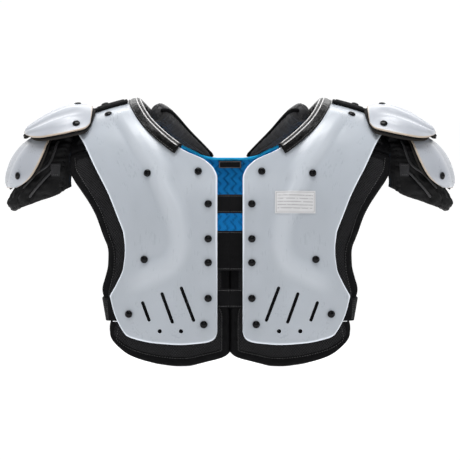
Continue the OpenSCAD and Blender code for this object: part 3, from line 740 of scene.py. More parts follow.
def ribbed_tape(name, along="u", rib=0.9, dark=grey(0.002, 0.0025), light=grey(0.010, 0.011),
                edge_line=0.0, line=grey(0.018, 0.019)):
    """Woven webbing: ribs across its length, a fine cross weave and firmer edges."""
    s = Shade(name, Specular_IOR_Level=0.05)
    a, b = (s.u, s.v) if along == "u" else (s.v, s.u)
    warp = s.rib(b, rib)
    weft = s.rib(a, rib * 0.62, 1.0)
    thread = s.math("MULTIPLY_ADD", weft, 0.45, s.math("MULTIPLY", warp, 0.55))
    colour = s.mix(thread, dark, light)
    colour = s.mix(s.span(s.noise(11, 3), 0.4, 0.75, 0, 0.4), colour, dark)
    if edge_line:
        near = s.span(s.math("ABSOLUTE", s.math("SUBTRACT", s.edge, edge_line)), 0.3, 0.75, 0.75, 0.0)
        colour = s.mix(near, colour, line)
    fuzz = s.noise(0.5, 3)
    rough = s.span(fuzz, 0.3, 0.8, 0.6, 0.85)
    normal = s.bump(thread, 0.35, 0.9)
    normal = s.bump(fuzz, 0.1, 0.5, normal)
    return s.end(colour, rough, normal)


def creased_vinyl():
    """Glossy black coated cloth with short sharp creases."""
    s = Shade("binding vinyl", Specular_IOR_Level=0.14)
    crease = s.noise(2.3, 4, s.stretched(1.0, 0.6), 0.6)
    colour = s.mix(s.span(crease, 0.45, 0.75), grey(0.0012), grey(0.008, 0.0085))
    rough = s.span(s.noise(1.4, 3), 0.3, 0.75, 0.22, 0.42)
    normal = s.bump(crease, 0.5, 0.9)
    normal = s.bump(s.noise(0.5, 2), 0.05, 0.5, normal)
    return s.end(colour, rough, normal)


def highlight_cord():
    """Light grey piping, a painted highlight for the bright lines on the black binding."""
    s = Shade("piping", Sheen_Weight=0.15, Specular_IOR_Level=0.5)
    thread = s.rib(s.math("ADD", s.u, s.v), 0.7)
    # the light grey colour is a painted highlight
    colour = s.mix(thread, (0.42, 0.41, 0.41), (0.62, 0.61, 0.61))
    colour = s.mix(s.span(s.noise(7, 3), 0.5, 0.8, 0, 0.6), colour, grey(0.20))
    return s.end(colour, s.span(thread, 0, 1, 0.38, 0.55), s.bump(thread, 0.08, 0.7))


def satin_nylon():
    """Charcoal satin nylon with fine cross threads."""
    s = Shade("cushion nylon", Sheen_Weight=0.1, Sheen_Roughness=0.35, Specular_IOR_Level=0.32)
    weave = s.math("MULTIPLY_ADD", s.rib(s.u, 0.5), 0.5, s.math("MULTIPLY", s.rib(s.v, 0.42), 0.5))
    colour = s.mix(s.noise(12, 3), grey(0.020, 0.021), (0.038, 0.037, 0.040))
    colour = s.mix(weave, colour, (0.062, 0.061, 0.065), 0.35)
    small = s.noise(3.4, 3, s.stretched(0.45, 1.5))
    normal = s.bump(weave, 0.08, 0.8)
    normal = s.bump(small, 0.6, 0.6, normal)
    return s.end(colour, s.span(small, 0.3, 0.7, 0.36, 0.52), normal)


def arm_fabric():
    """Black nylon over soft foam, a little lighter within a few mm of its edges."""
    s = Shade("arm fabric", Specular_IOR_Level=0.14)
    weave = s.weave(0.6)
    colour = s.mix(s.noise(10, 4), grey(0.002, 0.0025), grey(0.009, 0.0095))
    colour = s.mix(weave, colour, grey(0.018, 0.019), 0.35)
    colour = s.mix(s.span(s.edge, 0.5, 6.5, 0.3, 0.0), colour, grey(0.02, 0.021))
    normal = s.bump(weave, 0.12, 0.8)
    normal = s.bump(s.noise(6.0, 4, None, 0.55), 1.2, 0.7, normal)
    return s.end(colour, s.span(s.noise(5, 3), 0.3, 0.7, 0.45, 0.68), normal)


def black_foam():
    """Fabric-faced foam sheet, dull black with fine pores and a lighter brownish band along its edge."""
    s = Shade("edge foam", Specular_IOR_Level=0.07)
    pore = s.noise(0.55, 3)
    colour = s.mix(s.span(pore, 0.4, 0.7), grey(0.003, 0.0035), grey(0.014, 0.0145))
    colour = s.mix(s.span(s.edge, 0.3, 2.0, 0.35, 0.0), colour, (0.045, 0.038, 0.032))
    return s.end(colour, 0.72, s.bump(pore, 0.2, 0.8))


def label_film():
    """White film with a thin frame and plain ruled lines, and no writing."""
    s = Shade("label film", Specular_IOR_Level=0.5, Coat_Weight=0.2)
    line = s.span(s.math("ABSOLUTE", s.math("WRAP", s.v, 2.0, -2.0)), 0.35, 0.75, 0.5, 0.0)
    inside = s.span(s.edge, 3.0, 3.4)
    broken = s.span(s.noise(3.0, 1), 0.36, 0.44)
    ink = s.math("MULTIPLY", s.math("MULTIPLY", line, inside), broken)
    border = s.span(s.math("ABSOLUTE", s.math("SUBTRACT", s.edge, 1.6)), 0.2, 0.5, 0.5, 0.0)
    paper = s.mix(s.noise(9, 2), grey(0.50, 0.51), grey(0.56, 0.57))
    colour = s.mix(s.math("MAXIMUM", ink, border), paper, grey(0.10, 0.11))
    return s.end(colour, s.span(s.noise(1.5, 2), 0.3, 0.7, 0.35, 0.5), s.bump(s.noise(1.2, 2), 0.03, 0.5))


def clear_plastic():
    """Translucent white tab plastic; its cut edge carries a painted highlight."""
    return milky_plastic("anchor plastic", (0.50, 0.54, 0.60), (0.60, 0.64, 0.70), (0.85, 0.87, 0.9))


def thread(name, colour, light):
    """Twisted sewing thread."""
    s = Shade(name, Sheen_Weight=0.3, Specular_IOR_Level=0.5)
    twist = s.rib(s.math("ADD", s.u, s.v), 0.35)
    return s.end(s.mix(twist, colour, light), s.span(twist, 0, 1, 0.4, 0.6), s.bump(twist, 0.06, 0.8))


SHELL = shell_plastic()
CAP = cap_plastic()
RIVET = black_moulding()
BRIDGE = black_moulding("bridge plastic")
STEEL = washer_steel()
MESH = mesh_fabric()
BLUE = blue_mesh()
WEBBING = ribbed_tape("webbing", "u", 1.1, edge_line=1.4)
ELASTIC = ribbed_tape("elastic", "u", 1.6, grey(0.0015, 0.002), grey(0.008, 0.0085), 1.6)
SIDE_ELASTIC = ribbed_tape("side elastic", "u", 1.4)
BAND = ribbed_tape("padded webbing", "u", 1.0, grey(0.006, 0.0065), grey(0.030, 0.031))
GREY_TAPE = ribbed_tape("grey webbing", "v", 1.0, grey(0.018, 0.019), grey(0.05, 0.053))
TAB = ribbed_tape("woven tab", "u", 0.5, grey(0.006, 0.007), grey(0.03, 0.032), 1.0, grey(0.25, 0.26))
VINYL = creased_vinyl()
HIGHLIGHT_CORD = highlight_cord()
NYLON = satin_nylon()
ARM = arm_fabric()
FOAM = black_foam()
LABEL = label_film()
CLEAR = clear_plastic()
BLACK_THREAD = thread("black thread", grey(0.002, 0.0025), grey(0.007, 0.0075))
GREY_THREAD = thread("grey thread", grey(0.014, 0.0145), grey(0.045, 0.046))


# ---------------------------------------------------------------- putting pieces on the frame
def dress(node, stands_for):
    """Hides the node's CAD part when the piece stands for it."""
    if stands_for:
        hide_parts(node)


def hold(piece, node, stands_for=True):
    """The piece moves with the node's body. Trims don't stand for the node."""
    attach(piece, BODY_OF[node])
    dress(node, stands_for)


def both_sides(piece, base):
    """Puts a left piece on the frame, and its mirror image on the right; trims are named base and a tail."""
    tail = piece.name[len(base):]
    right = mirrored(piece, base + "_r" + tail)
    piece.name = base + "_l" + tail
    hold(piece, base + "_l", not tail)
    hold(right, base + "_r", not tail)


def spread(piece, node, stands_for=True):
    """A half of a piece that crosses the back or chest: it stretches from the spine to one half."""
    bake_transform(piece)
    dress(node, stands_for)


# ---------------------------------------------------------------- plastic arch
SHELL_LOW_LEN = 135.0
SHELL_TOP_LEN = 500.0


def shell_cells(u, v):
    """Places on the plate, u from the front bottom edge over the shoulder to the back bottom edge."""
    total = 2 * SHELL_LOW_LEN + SHELL_TOP_LEN
    s = u * total
    back = s > total / 2
    t = np.clip(1 - np.where(back, total - s, s) / SHELL_LOW_LEN, 0, 1)
    q = np.clip(-90 + 180 * (s - SHELL_LOW_LEN) / SHELL_TOP_LEN, -90, 90)
    h = rise(q)
    neck = np.where(back, smooth(NECK_BACK, h), smooth(NECK_FRONT, h))
    x_top = mix(neck, smooth(SHELL_OUT, h), v)
    x_low = mix(PLATE_GAP, smooth(SHELL_WAIST, mix(SPRING_H, 89, t)), v)
    z_low = mix(SPRING_H, smooth(SHELL_LOW, v), t)
    low = t > 0
    q_low = (LOW_END - z_low) * np.where(back, 1, -1)
    return np.where(low, x_low, x_top), np.where(low, q_low, q)


def plate_spot(x, q, lift=0.0):
    """Point on the plate or lift above it, and the direction there."""
    n = arch_normal(x, q)
    return arch_mid(x, q) + (ridge(x, q) + lift) * n, n


PLATE_SPOTS = [plate_spot(x, sign * float(q_at(x, z))) for x, z, _ in RIVETS for sign in (1, -1)]


def rivet_shadow_and_ridge_light(u, v, p):
    """Painted shadow in the milky plastic round each rivet, and the ridge mask for its painted highlight."""
    best = np.full(p.shape[:2], 1e3)
    for spot, _ in PLATE_SPOTS:
        best = np.minimum(best, np.linalg.norm(p - spot, axis=-1))
    return ease((8.0 - best) / 5.0), ridge(*shell_cells(u, v)) / RIDGE_H


def slot_cutters():
    """One mesh of round-ended bars that cut the vents and holes through both plates."""
    bm = bmesh.new()
    outlines = []
    for x1, z1, x2, z2 in SLOTS:
        a = math.atan2(z1 - z2, x1 - x2)
        ends = [(x1, z1, a - math.pi / 2), (x2, z2, a + math.pi / 2)]
        outlines.append([(x + SLOT_W / 2 * math.cos(b + k * math.pi / 8),
                          z + SLOT_W / 2 * math.sin(b + k * math.pi / 8))
                         for x, z, b in ends for k in range(9)])
    for x, z in HOLES:
        outlines.append([(x + HOLE_D / 2 * math.cos(k * math.pi / 12),
                          z + HOLE_D / 2 * math.sin(k * math.pi / 12)) for k in range(24)])
    for outline in outlines:
        near = [bm.verts.new((x * MM, -0.16, z * MM)) for x, z in outline]
        far = [bm.verts.new((x * MM, 0.16, z * MM)) for x, z in outline]
        count = len(outline)
        bm.faces.new(near)
        bm.faces.new(far[::-1])
        for k in range(count):
            bm.faces.new([near[k], near[(k + 1) % count], far[(k + 1) % count], far[k]])
    bmesh.ops.recalc_face_normals(bm, faces=bm.faces)
    mesh = bpy.data.meshes.new("cutters")
    bm.to_mesh(mesh)
    bm.free()
    return placed("cutters", mesh)


def apply_modifiers(piece):
    graph = bpy.context.evaluated_depsgraph_get()
    mesh = bpy.data.meshes.new_from_object(piece.evaluated_get(graph))
    piece.modifiers.clear()
    piece.data = mesh


def arch_shell():
    def relief(u, v, cloth, edge):
        x, q = shell_cells(u, v)
        return ridge(x, q)
    size = (2 * SHELL_LOW_LEN + SHELL_TOP_LEN, 120)
    piece = sheet("arch_shell", arch_cells(shell_cells), size, (250, 64), SHELL_T, SHELL,
                  relief=relief, under=relief, tone=rivet_shadow_and_ridge_light)
    cutter = slot_cutters()
    cut = piece.modifiers.new("cut", "BOOLEAN")
    cut.object = cutter
    cut.operation = "DIFFERENCE"
    cut.solver = "EXACT"
    apply_modifiers(piece)
    bpy.data.objects.remove(cutter)
    piece.data.set_sharp_from_angle(angle=math.radians(38))
    both_sides(piece, "arch_shell")


RIVET_R = 4.75
SHANK_R = 1.9


def rivet_profile(height, depth):
    """Rivet: shank, thin flange and a round dome."""
    arc = [(RIVET_R * math.sin(a), 0.9 + (height - 0.9) * math.cos(a))
           for a in np.radians([88, 78, 66, 54, 42, 30, 18, 7])]
    foot = [(0.05, -depth), (SHANK_R, -depth), (SHANK_R, 0.2), (RIVET_R - 0.35, 0.2), (RIVET_R, 0.45)]
    return foot + arc + [(0.05, height)]


def fasteners():
    under = [row[2] for row in RIVETS for _ in range(2)]
    for name, strapped, depth in (("arch_rivets", 0, 5.1), ("arch_rivets_strap", 1, 7.4)):
        spots = [spot for mark, spot in zip(under, PLATE_SPOTS) if mark == strapped]
        both_sides(lathe(name, spots, rivet_profile(3.2, depth), RIVET), "arch_rivets")
    spot = plate_spot(157.0, 0.0, 5.2)
    both_sides(lathe("crest_rivet", [spot], rivet_profile(3.0, 9.2), RIVET), "crest_rivet")


# ---------------------------------------------------------------- epaulet and cup
def dome(crown, rim, half, corner=0.0):
    """Surface of an epaulet or cup: u along it, v across; corner rounds its inner corners off."""
    def place(u, w):
        a = np.abs(w)[..., None] ** 2.3
        u = u + corner * np.abs(w) ** 6 * np.clip(1 - u, 0, 1) ** 4
        c, e = curve(crown, u), curve(rim, u)
        xz = c + (e - c) * a
        return np.stack([xz[..., 0], w * curve(half, u), xz[..., 1]], -1)

    def surface(u, v, over=0.0):
        u = mix(-over, 1 + over, u)
        w = (1 + over) * (2 * v - 1)
        du = place(u + 0.01, w) - place(u - 0.01, w)
        dw = place(u, w + 0.01) - place(u, w - 0.01)
        n = unit(np.cross(du, dw))
        cloth = np.stack([u * 105, w * 85], -1)
        return place(u, w), n, cloth
    return surface


EPA = dome(EPA_TOP, EPA_EDGE, EPA_HALF, 0.05)
CUP = dome(CUP_TOP, CUP_EDGE, CUP_HALF)


def over(surface, amount):
    return lambda u, v: surface(u, v, amount)


EPA_RIB_H = 3.0


def cap_ribs(lines, height, start):
    """Soft lengthwise ribs in a moulded cap, fading in from its inner end."""
    def relief(u, v, cloth, edge):
        w = np.abs(2 * v - 1)
        total = np.zeros_like(u)
        for line, width in lines:
            total += ease(1 - np.abs(w - line) / width)
        return height * total * ease((u - start) / 0.25) * ease(edge / 9.0)
    return relief


def spots_on(surface, places_uv):
    """Point and direction at each (along, across) place of a cap."""
    found = []
    for u, w in places_uv:
        p, n, _ = surface(np.array([[u]]), np.array([[(w + 1) / 2]]))
        found.append((p[0, 0], n[0, 0]))
    return found


def cap(base, surface, size, counts, ribs, shadow_and_rib_light):
    piece = sheet(base + "_shell", surface, size, counts, CAP_T, CAP, relief=ribs, under=ribs, tone=shadow_and_rib_light)
    both_sides(piece, base + "_shell")


def cap_liner(base, surface, size, counts, thick, gap, ribs):
    """Foam sheet under a cap, a gap below it."""
    piece = sheet(base + "_liner", surface, size, counts, thick, FOAM, depth=-CAP_T - gap, relief=ribs,
                  under=ribs)
    both_sides(piece, base + "_liner")


def cap_rivets(base, spots):
    both_sides(lathe(base + "_rivets", spots, rivet_profile(2.9, 5.2), RIVET), base + "_rivets")


def caps():
    epa_spots, cup_spots = spots_on(EPA, EPA_RIVETS), spots_on(CUP, CUP_RIVETS)
    epa_ribs = cap_ribs([(0.0, 0.14), (0.4, 0.15), (0.72, 0.13)], EPA_RIB_H, 0.12)
    cup_ribs = cap_ribs([(0.0, 0.3), (0.55, 0.16)], 1.6, 0.12)

    # painted shadow round the rivets, and the rib mask for a painted highlight
    def shadow_and_rib_light(ribs):
        def tone(u, v, p):
            best = np.min([np.linalg.norm(p - s, axis=-1) for s, _ in epa_spots + cup_spots], axis=0)
            return ease((7.5 - best) / 4.5), ribs(u, v, None, 30.0) / EPA_RIB_H
        return tone
    cap("epaulet", EPA, (105, 185), (60, 90), epa_ribs, shadow_and_rib_light(epa_ribs))
    cap_liner("epaulet", over(EPA, 0.045), (112, 195), (44, 60), LINER_T + 0.5, 0.4, epa_ribs)
    cap_rivets("epaulet", epa_spots)
    cap("cup", CUP, (105, 165), (56, 80), cup_ribs, shadow_and_rib_light(cup_ribs))
    cap_liner("cup", over(CUP, 0.03), (110, 172), (40, 54), LINER_T, 0.5, cup_ribs)
    cap_rivets("cup", cup_spots)


# ---------------------------------------------------------------- body pads
PAD_LOW_LEN = 165.0
PAD_TOP_LEN = 115.0


def pad_cells(back):
    """Places on a front or back pad, u from its bottom edge up to the shoulder."""
    inner = PAD_INNER_BACK if back else PAD_INNER
    neck = PAD_NECK_BACK if back else PAD_NECK_FRONT
    sign = -1 if back else 1

    def cells(u, v):
        s = u * (PAD_LOW_LEN + PAD_TOP_LEN)
        t = np.clip(1 - s / PAD_LOW_LEN, 0, 1)
        q = -90 + (90 - PAD_TOP_Q) * np.clip((s - PAD_LOW_LEN) / PAD_TOP_LEN, 0, 1)
        h = rise(q)
        x_top = mix(smooth(neck, h), smooth(PAD_OUT, h), v)
        x_low = mix(smooth(inner, mix(SPRING_H, 18, t)), smooth(PAD_WAIST, mix(SPRING_H, 36, t)), v)
        z_low = mix(SPRING_H, smooth(PAD_LOW, v), t)
        low = t > 0
        return np.where(low, x_low, x_top), sign * np.where(low, z_low - LOW_END, q)
    return cells


BOUND = 12.0            # width of the nylon edge of a pad


def sewn_edge(u, v, cloth, edge):
    """Groove along the stitching between the mesh and the nylon edge, and small ripples."""
    groove = -1.1 * np.exp(-((edge - BOUND) / 1.6) ** 2)
    ripple = 0.35 * folds(cloth, 5, 13) * ease(edge / 5)
    return groove + ripple


def pad_seams(piece):
    """The rim and the stitched line hold still."""
    edge = edge_of(piece)
    return (edge < 1.5) | (np.abs(edge - BOUND) < 1.6)


def pad_room(piece):
    """Free space for the swelling: much outside the plates, little under the plates and straps."""
    p = places(piece)
    edge = edge_of(piece)
    plate = smooth(SHELL_WAIST, p[:, 2])
    h = np.clip((p[:, 2] - SPRING_H) / (crest_at(p[:, 0]) - SPRING_H), 0, 1)
    plate = np.where(p[:, 2] > SPRING_H, smooth(SHELL_OUT, h), plate)
    clear = (p[:, 0] > plate + 2) | ((p[:, 2] < 33) & (edge < 45))
    under_straps = (p[:, 0] < STRAP_HALF) & (p[:, 2] > 60)
    return np.where(under_straps, 0.02, np.where(clear, 3.0, 0.9))


def line_on(surface, u, v, lift):
    """Path on a surface and the surface's direction there."""
    p, n, _ = surface(*np.broadcast_arrays(np.asarray(u, float), np.asarray(v, float)))
    return p + lift * n, n


def border_path(surface, size, inset, depth, sides, count=70):
    """Stitch line parallel to chosen sides of a sheet, inset mm from its edge."""
    a, b = inset / size[0], inset / size[1]
    t = np.linspace(0, 1, count)
    along, across = mix(a, 1 - a, t), mix(b, 1 - b, t)
    runs = {"v1": (along, 1 - b), "v0": (along, b), "u0": (a, across), "u1": (1 - a, across)}
    return [line_on(surface, *runs[s], depth) for s in sides]


def body_pads():
    for base, back in (("front_pad", False), ("back_pad", True)):
        surface = arch_cells(pad_cells(back))
        size = (PAD_LOW_LEN + PAD_TOP_LEN, 145.0)
        piece = sheet(base, surface, size, (84, 60), PAD_T, MESH, depth=-PAD_GAP, relief=sewn_edge)
        puff(piece, pad_seams, pad_room)
        both_sides(piece, base)
        rows = border_path(surface, size, BOUND - 2.2, -PAD_GAP + 0.3, ["v1", "u0", "v0"])
        both_sides(stitches(base + "_seam", rows, BLACK_THREAD), base)

    def cells(u, v):
        q = mix(-PAD_TOP_Q + 1, PAD_TOP_Q - 1, u)
        h = rise(q)
        neck = np.where(q < 0, smooth(PAD_NECK_FRONT, h), smooth(PAD_NECK_BACK, h))
        return mix(neck, smooth(PAD_OUT, h), v), q
    piece = sheet("shoulder_pad", arch_cells(cells), (215, 85), (70, 36), PAD_T, MESH, depth=-PAD_GAP,
                  relief=sewn_edge)
    puff(piece, pad_seams, lambda p: 0.9)
    both_sides(piece, "shoulder_pad")


# ---------------------------------------------------------------- neck
def neck_x(q):
    h = rise(q)
    return np.where(q < 0, smooth(NECK_FRONT, h), smooth(NECK_BACK, h))


def fold_point(q, b, d):
    """Point at distance b from the neck edge onto the plate, at height d above it."""
    x = neck_x(q)
    t = unit(arch_mid(neck_x(q + 3), q + 3) - arch_mid(neck_x(q - 3), q - 3))
    n = arch_normal(x, q)
    k = unit(np.cross(t, n))
    dx = arch_mid(x + 0.5, q) - arch_mid(x - 0.5, q)
    dq = arch_mid(x, q + 0.5) - arch_mid(x, q - 0.5)
    length = np.linalg.norm(dq, axis=-1)
    move_x = b * np.sum(k * unit(dx), axis=-1)
    move_q = b * np.sum(k * unit(dq), axis=-1) / length
    return arch(x + move_x, q + move_q, d), n


FOLD_LEN = 44.0         # width of the vinyl strip before it is folded
WELT_R = 0.85


def neck_binding():
    q, w = np.meshgrid(np.linspace(*BIND_Q, 170), np.linspace(0, 1, 40), indexing="ij")
    out, within = curve(FOLD_OUT, w), curve(FOLD_IN, w)
    cloth = np.stack([along_arch(q) * 0.9, w * FOLD_LEN], -1)
    face = ease((w - 0.02) / 0.08) * ease((0.97 - w) / 0.08)
    crease = 0.35 * folds(cloth, 21, 7.5, (1, 0.5)) + 0.16 * folds(cloth, 22, 3.6, (1, 0.6))
    outer, _ = fold_point(q, out[..., 0], out[..., 1])
    inner, _ = fold_point(q, within[..., 0], within[..., 1])
    outer = outer + unit(outer - inner) * (crease * face)[..., None]
    ends = np.minimum(w, 1 - w) * FOLD_LEN
    piece = slab("neck_binding", outer, inner, cloth, ends, VINYL)
    both_sides(piece, "neck_binding")
    q = np.linspace(BIND_Q[0] + 0.6, BIND_Q[1] - 0.6, 150)
    # two welts in the light grey cord, painted highlights along the binding
    for tail, b, d in (("_welt_outer", 1.0, 3.9), ("_welt_inner", -3.4, 2.5)):
        path, up = fold_point(q, b, d)
        both_sides(tube("neck_binding" + tail, path, WELT_R, HIGHLIGHT_CORD, up), "neck_binding")
    rows = [fold_point(q, b, d) for b, d in ((-1.1, 3.75), (9.6, 3.35))]
    both_sides(stitches("neck_binding_thread", rows, GREY_THREAD, 3.6, 2.3, 0.4), "neck_binding")


def cushion_middle(t):
    c = curve(CUSHION, t)
    return arch(c[..., 0], c[..., 1], c[..., 2])


# trims of the cushion: where they lie round it in degrees, how far out, radius and material
CUSHION_TRIMS = [("_piping_top", 100, 1.02, 0.95, BLACK_THREAD),
                 ("_piping_low", 262, 1.02, 0.95, BLACK_THREAD),
                 ("_flange", 180, 1.06, 2.6, WEBBING)]


def neck_cushion():
    count, around = 96, 36
    t = (1 - np.cos(math.pi * np.linspace(0, 1, count))) / 2
    middle = cushion_middle(t)
    c = curve(CUSHION, t)
    tangent = unit(cushion_middle(t + 0.02) - cushion_middle(t - 0.02))
    side = unit(np.cross(tangent, arch_normal(c[:, 0], c[:, 1])))
    lift = np.cross(side, tangent)
    close = np.minimum(t, 1 - t) / 0.085
    radius = (CUSHION_R - 1.0) * c[:, 3] * np.sqrt(1 - (1 - np.clip(close, 0, 1)) ** 2 * 0.99)
    angle = circle(around)
    length = run_length(middle)
    along = np.broadcast_to(length[:, None], (count, around))
    cloth = np.stack(np.broadcast_arrays(along, angle * CUSHION_R), -1)
    wave = np.stack(np.broadcast_arrays(along, CUSHION_R * np.sin(angle)), -1)
    crease = 1 + 0.035 * folds(wave, 31, 11, (1.5, 0.45)) + 0.018 * folds(wave, 32, 5, (1.6, 0.5))
    points = middle[:, None] + (radius[:, None] * crease)[..., None] * rings(side, lift, angle)
    fab = np.concatenate([cloth, np.full((count, around, 1), 20.0)], -1)
    piece = make("neck_cushion", points, ring_faces(count, around), NYLON, fab)

    def pinned(p):
        s = fab_of(p)[:, 0]
        return np.minimum(s, length[-1] - s) < 2.5
    puff(piece, pinned, lambda p: 1.6, pressure=3.0, slack=0.06, bending=0.15)
    both_sides(piece, "neck_cushion")
    keep = slice(6, count - 6)
    for tail, turn, out, r, material in CUSHION_TRIMS:
        a = math.radians(turn)
        path = middle + (out * radius)[:, None] * (math.cos(a) * side + math.sin(a) * lift)
        both_sides(tube("neck_cushion" + tail, path[keep], r, material, lift[keep]), "neck_cushion")


# ---------------------------------------------------------------- upper arm pad
def arm_place(u, g):
    s = curve(ARM_PAD, u)
    f = np.sqrt(np.maximum(1 - np.abs(g) ** 3, 0))
    inner = mix(ARM_IN[0], ARM_IN[1], u)
    x = mix(inner, s[..., 0], f)
    y = np.sign(g) * s[..., 3] * (np.abs(g) ** 0.8 - ARM_TAPER * np.abs(g) ** 12)
    z = mix(s[..., 2], s[..., 1], f ** 0.6)
    return np.stack([x, y, z], -1)


def arm_surface(u, v):
    g = 0.985 * (2 * v - 1)
    du = arm_place(u + 0.01, g) - arm_place(u - 0.01, g)
    dg = arm_place(u, np.minimum(0.985, g + 0.015)) - arm_place(u, np.maximum(-0.985, g - 0.015))
    n = unit(np.cross(du, dg))
    return arm_place(u, g), n, np.stack([u * ARM_SIZE[0], v * ARM_SIZE[1]], -1)


def on_arm(x, z):
    """The v and u of the point on the front of the arm pad that is seen at x, z."""
    u, v = np.meshgrid(np.linspace(0, 1, 120), np.linspace(0.005, 0.42, 120), indexing="ij")
    p, _, _ = arm_surface(u, v)
    k = np.argmin((p[..., 0] - x) ** 2 + (p[..., 2] - z) ** 2)
    return u.flat[k], v.flat[k]


ARM_SEAMS = [[(216, 284), (222, 271), (230, 254), (247, 241), (262, 224)],
             [(219, 251), (236, 234), (254, 213)]]


def arm_seams():
    """Places of the seam lines on the arm pad."""
    found = []
    for line in ARM_SEAMS:
        spots = np.array([on_arm(x, z) for x, z in line])
        found.append(curve(spots, np.linspace(0, 1, 40)))
    return found


def arm_pad(seams):
    seam_points = np.concatenate([arm_surface(s[:, 0], s[:, 1])[0] for s in seams])

    def near_seam(p):
        return np.min(np.linalg.norm(p[..., None, :] - seam_points, axis=-1), axis=-1)

    def relief(u, v, cloth, edge):
        p, _, _ = arm_surface(u, v)
        groove = -2.0 * np.exp(-(near_seam(p) / 2.6) ** 2)
        wrinkle = 1.3 * folds(cloth, 41, 24, (1, 0.8)) + 0.8 * folds(cloth, 42, 11, (1.2, 0.7))
        ruffle = 2.0 * np.sin(cloth[..., 1] / 4.6) * ease((u - 0.72) / 0.25)
        return groove + (wrinkle + ruffle) * ease(edge / 7)
    piece = sheet("arm_pad", arm_surface, ARM_SIZE, (46, 86), ARM_PAD_T, ARM, relief=relief,
                  under=lambda u, v, c, e: 0.8 * folds(c, 43, 22) * ease(e / 7))
    puff(piece, lambda p: (edge_of(p) < 1.2) | (near_seam(places(p)) < 3.2), lambda p: 2.6,
         pressure=3.5, slack=0.07, bending=0.12)
    both_sides(piece, "arm_pad")


def arm_trims(seams):
    """Welts on the seams and a loose rolled hem round the open edges."""
    for k, s in enumerate(seams):
        path, up = line_on(arm_surface, s[:, 0], s[:, 1], 0.2)
        # the seam welts take the lighter cushion nylon, a painted highlight along the seams
        both_sides(tube(f"arm_pad_welt{k}", path, 1.5, NYLON, up, 0.7), "arm_pad")
    t = np.linspace(0.01, 0.99, 120)
    step = np.arange(len(t))
    wave = 0.9 * np.sin(step * 0.55) + 0.5 * np.sin(step * 1.3 + 2)
    for tail, u, v in (("_hem", 0.985, t), ("_edge_front", t, 0.012), ("_edge_back", t, 0.988)):
        path, up = line_on(arm_surface, u, v, -ARM_PAD_T / 2)
        path = path + up * wave[:, None]
        both_sides(tube("arm_pad" + tail, path, 3.4, ARM, up, 1.0, 14), "arm_pad")


def arm_tab():
    def surface(u, v):
        x, z = mix(214.5, 226.5, v), mix(239.5, 255.5, u)
        y = -61.0 - 1.6 * np.sin(u * 2.4) + 1.1 * (v - 0.5) ** 2
        p = np.stack([x + 2.2 * (u - 0.5) * (v - 0.5), y, z], -1)
        n = np.broadcast_to(np.array([0.0, -1.0, 0.0]), p.shape)
        return p, n, np.stack([x, z], -1)
    both_sides(sheet("arm_tab", surface, ARM_TAB_SIZE, (12, 10), 1.2, GREY_TAPE), "arm_tab")
    rows = border_path(surface, ARM_TAB_SIZE, 2.0, 0.15, ["u1", "u0"], 20)
    both_sides(stitches("arm_tab_thread", rows, BLACK_THREAD, 2.4, 1.6, 0.3), "arm_tab")


# ---------------------------------------------------------------- webbing on a half
def crest_strap():
    def cells(u, v):
        return mix(129, 171, u), mix(-9, 9, v)
    surface = arch_cells(cells)

    def relief(u, v, cloth, edge):
        return 0.7 * ease(edge / 6) - 0.9 * np.exp(-((edge - 3.4) / 0.8) ** 2)
    size = (42, 40)
    piece = sheet("crest_strap", surface, size, (40, 44), 4.7, BAND, depth=5.2, relief=relief)
    both_sides(piece, "crest_strap")
    rows = border_path(surface, size, 3.4, 4.6, ["v0", "v1", "u0"])
    both_sides(stitches("crest_strap_thread", rows, GREY_THREAD, 2.8, 1.9, 0.35), "crest_strap")


def cup_strap():
    def surface(u, v):
        p = curve(CUP_WEB, u)
        t = unit(curve(CUP_WEB, u + 0.01) - curve(CUP_WEB, u - 0.01))
        n = np.stack([-t[..., 1], np.zeros_like(u), t[..., 0]], -1)
        n = n * np.sign(n[..., 2:3])
        y = mix(-19, 19, v)
        return np.stack([p[..., 0], y, p[..., 1]], -1), n, np.stack([p[..., 0], y], -1)
    size = (74, 38)
    both_sides(sheet("cup_strap", surface, size, (40, 24), WEB_T, WEBBING, depth=2.0), "cup_strap")
    rows = border_path(surface, size, 2.4, 2.15, ["v0", "v1"])
    both_sides(stitches("cup_strap_thread", rows, BLACK_THREAD), "cup_strap")


SIDE_Z = 72.0           # height of the middle of the side strap
SIDE_SIZE = (240, 29.0)
SIDE_LEAN = 0.17        # how much less far out its lower edge is


def side_edge(z):
    """One edge of the side strap, from the front plate under the arm to the back plate."""
    lean = SIDE_LEAN * (SIDE_Z + SIDE_SIZE[1] / 2 - z)
    half = [arch(x, z - LOW_END, -4.25) for x in (136.0, 152.0)]
    half += [np.array([x - lean, y, z])
             for x, y in ((157.5, -95), (160, -84), (161, -60), (161, -30), (161, 0))]
    return np.array(half + [p * [1, -1, 1] for p in half[-2::-1]])


def side_strap():
    low, high = (side_edge(SIDE_Z + side * SIDE_SIZE[1] / 2) for side in (-1, 1))

    def surface(u, v):
        p = mix(curve(low, u), curve(high, u), v[..., None])
        step = curve(low, np.minimum(u + 0.01, 1)) - curve(low, np.maximum(u - 0.01, 0))
        t = unit(step * [1, 1, 0])
        n = np.stack([-t[..., 1], t[..., 0], np.zeros_like(u)], -1)
        n = n * np.sign(n[..., 0:1] + 1e-3)
        return p, n, np.stack([u * SIDE_SIZE[0], v * SIDE_SIZE[1]], -1)
    both_sides(sheet("side_strap", surface, SIDE_SIZE, (110, 16), 1.5, SIDE_ELASTIC, depth=0.75),
               "side_strap")
    t = np.linspace(0.08, 0.92, 16)
    rows = [line_on(surface, u, t, 0.85) for u in (0.12, 0.16, 0.84, 0.88)]
    both_sides(stitches("side_strap_thread", rows, GREY_THREAD, 2.4, 1.6, 0.32), "side_strap")


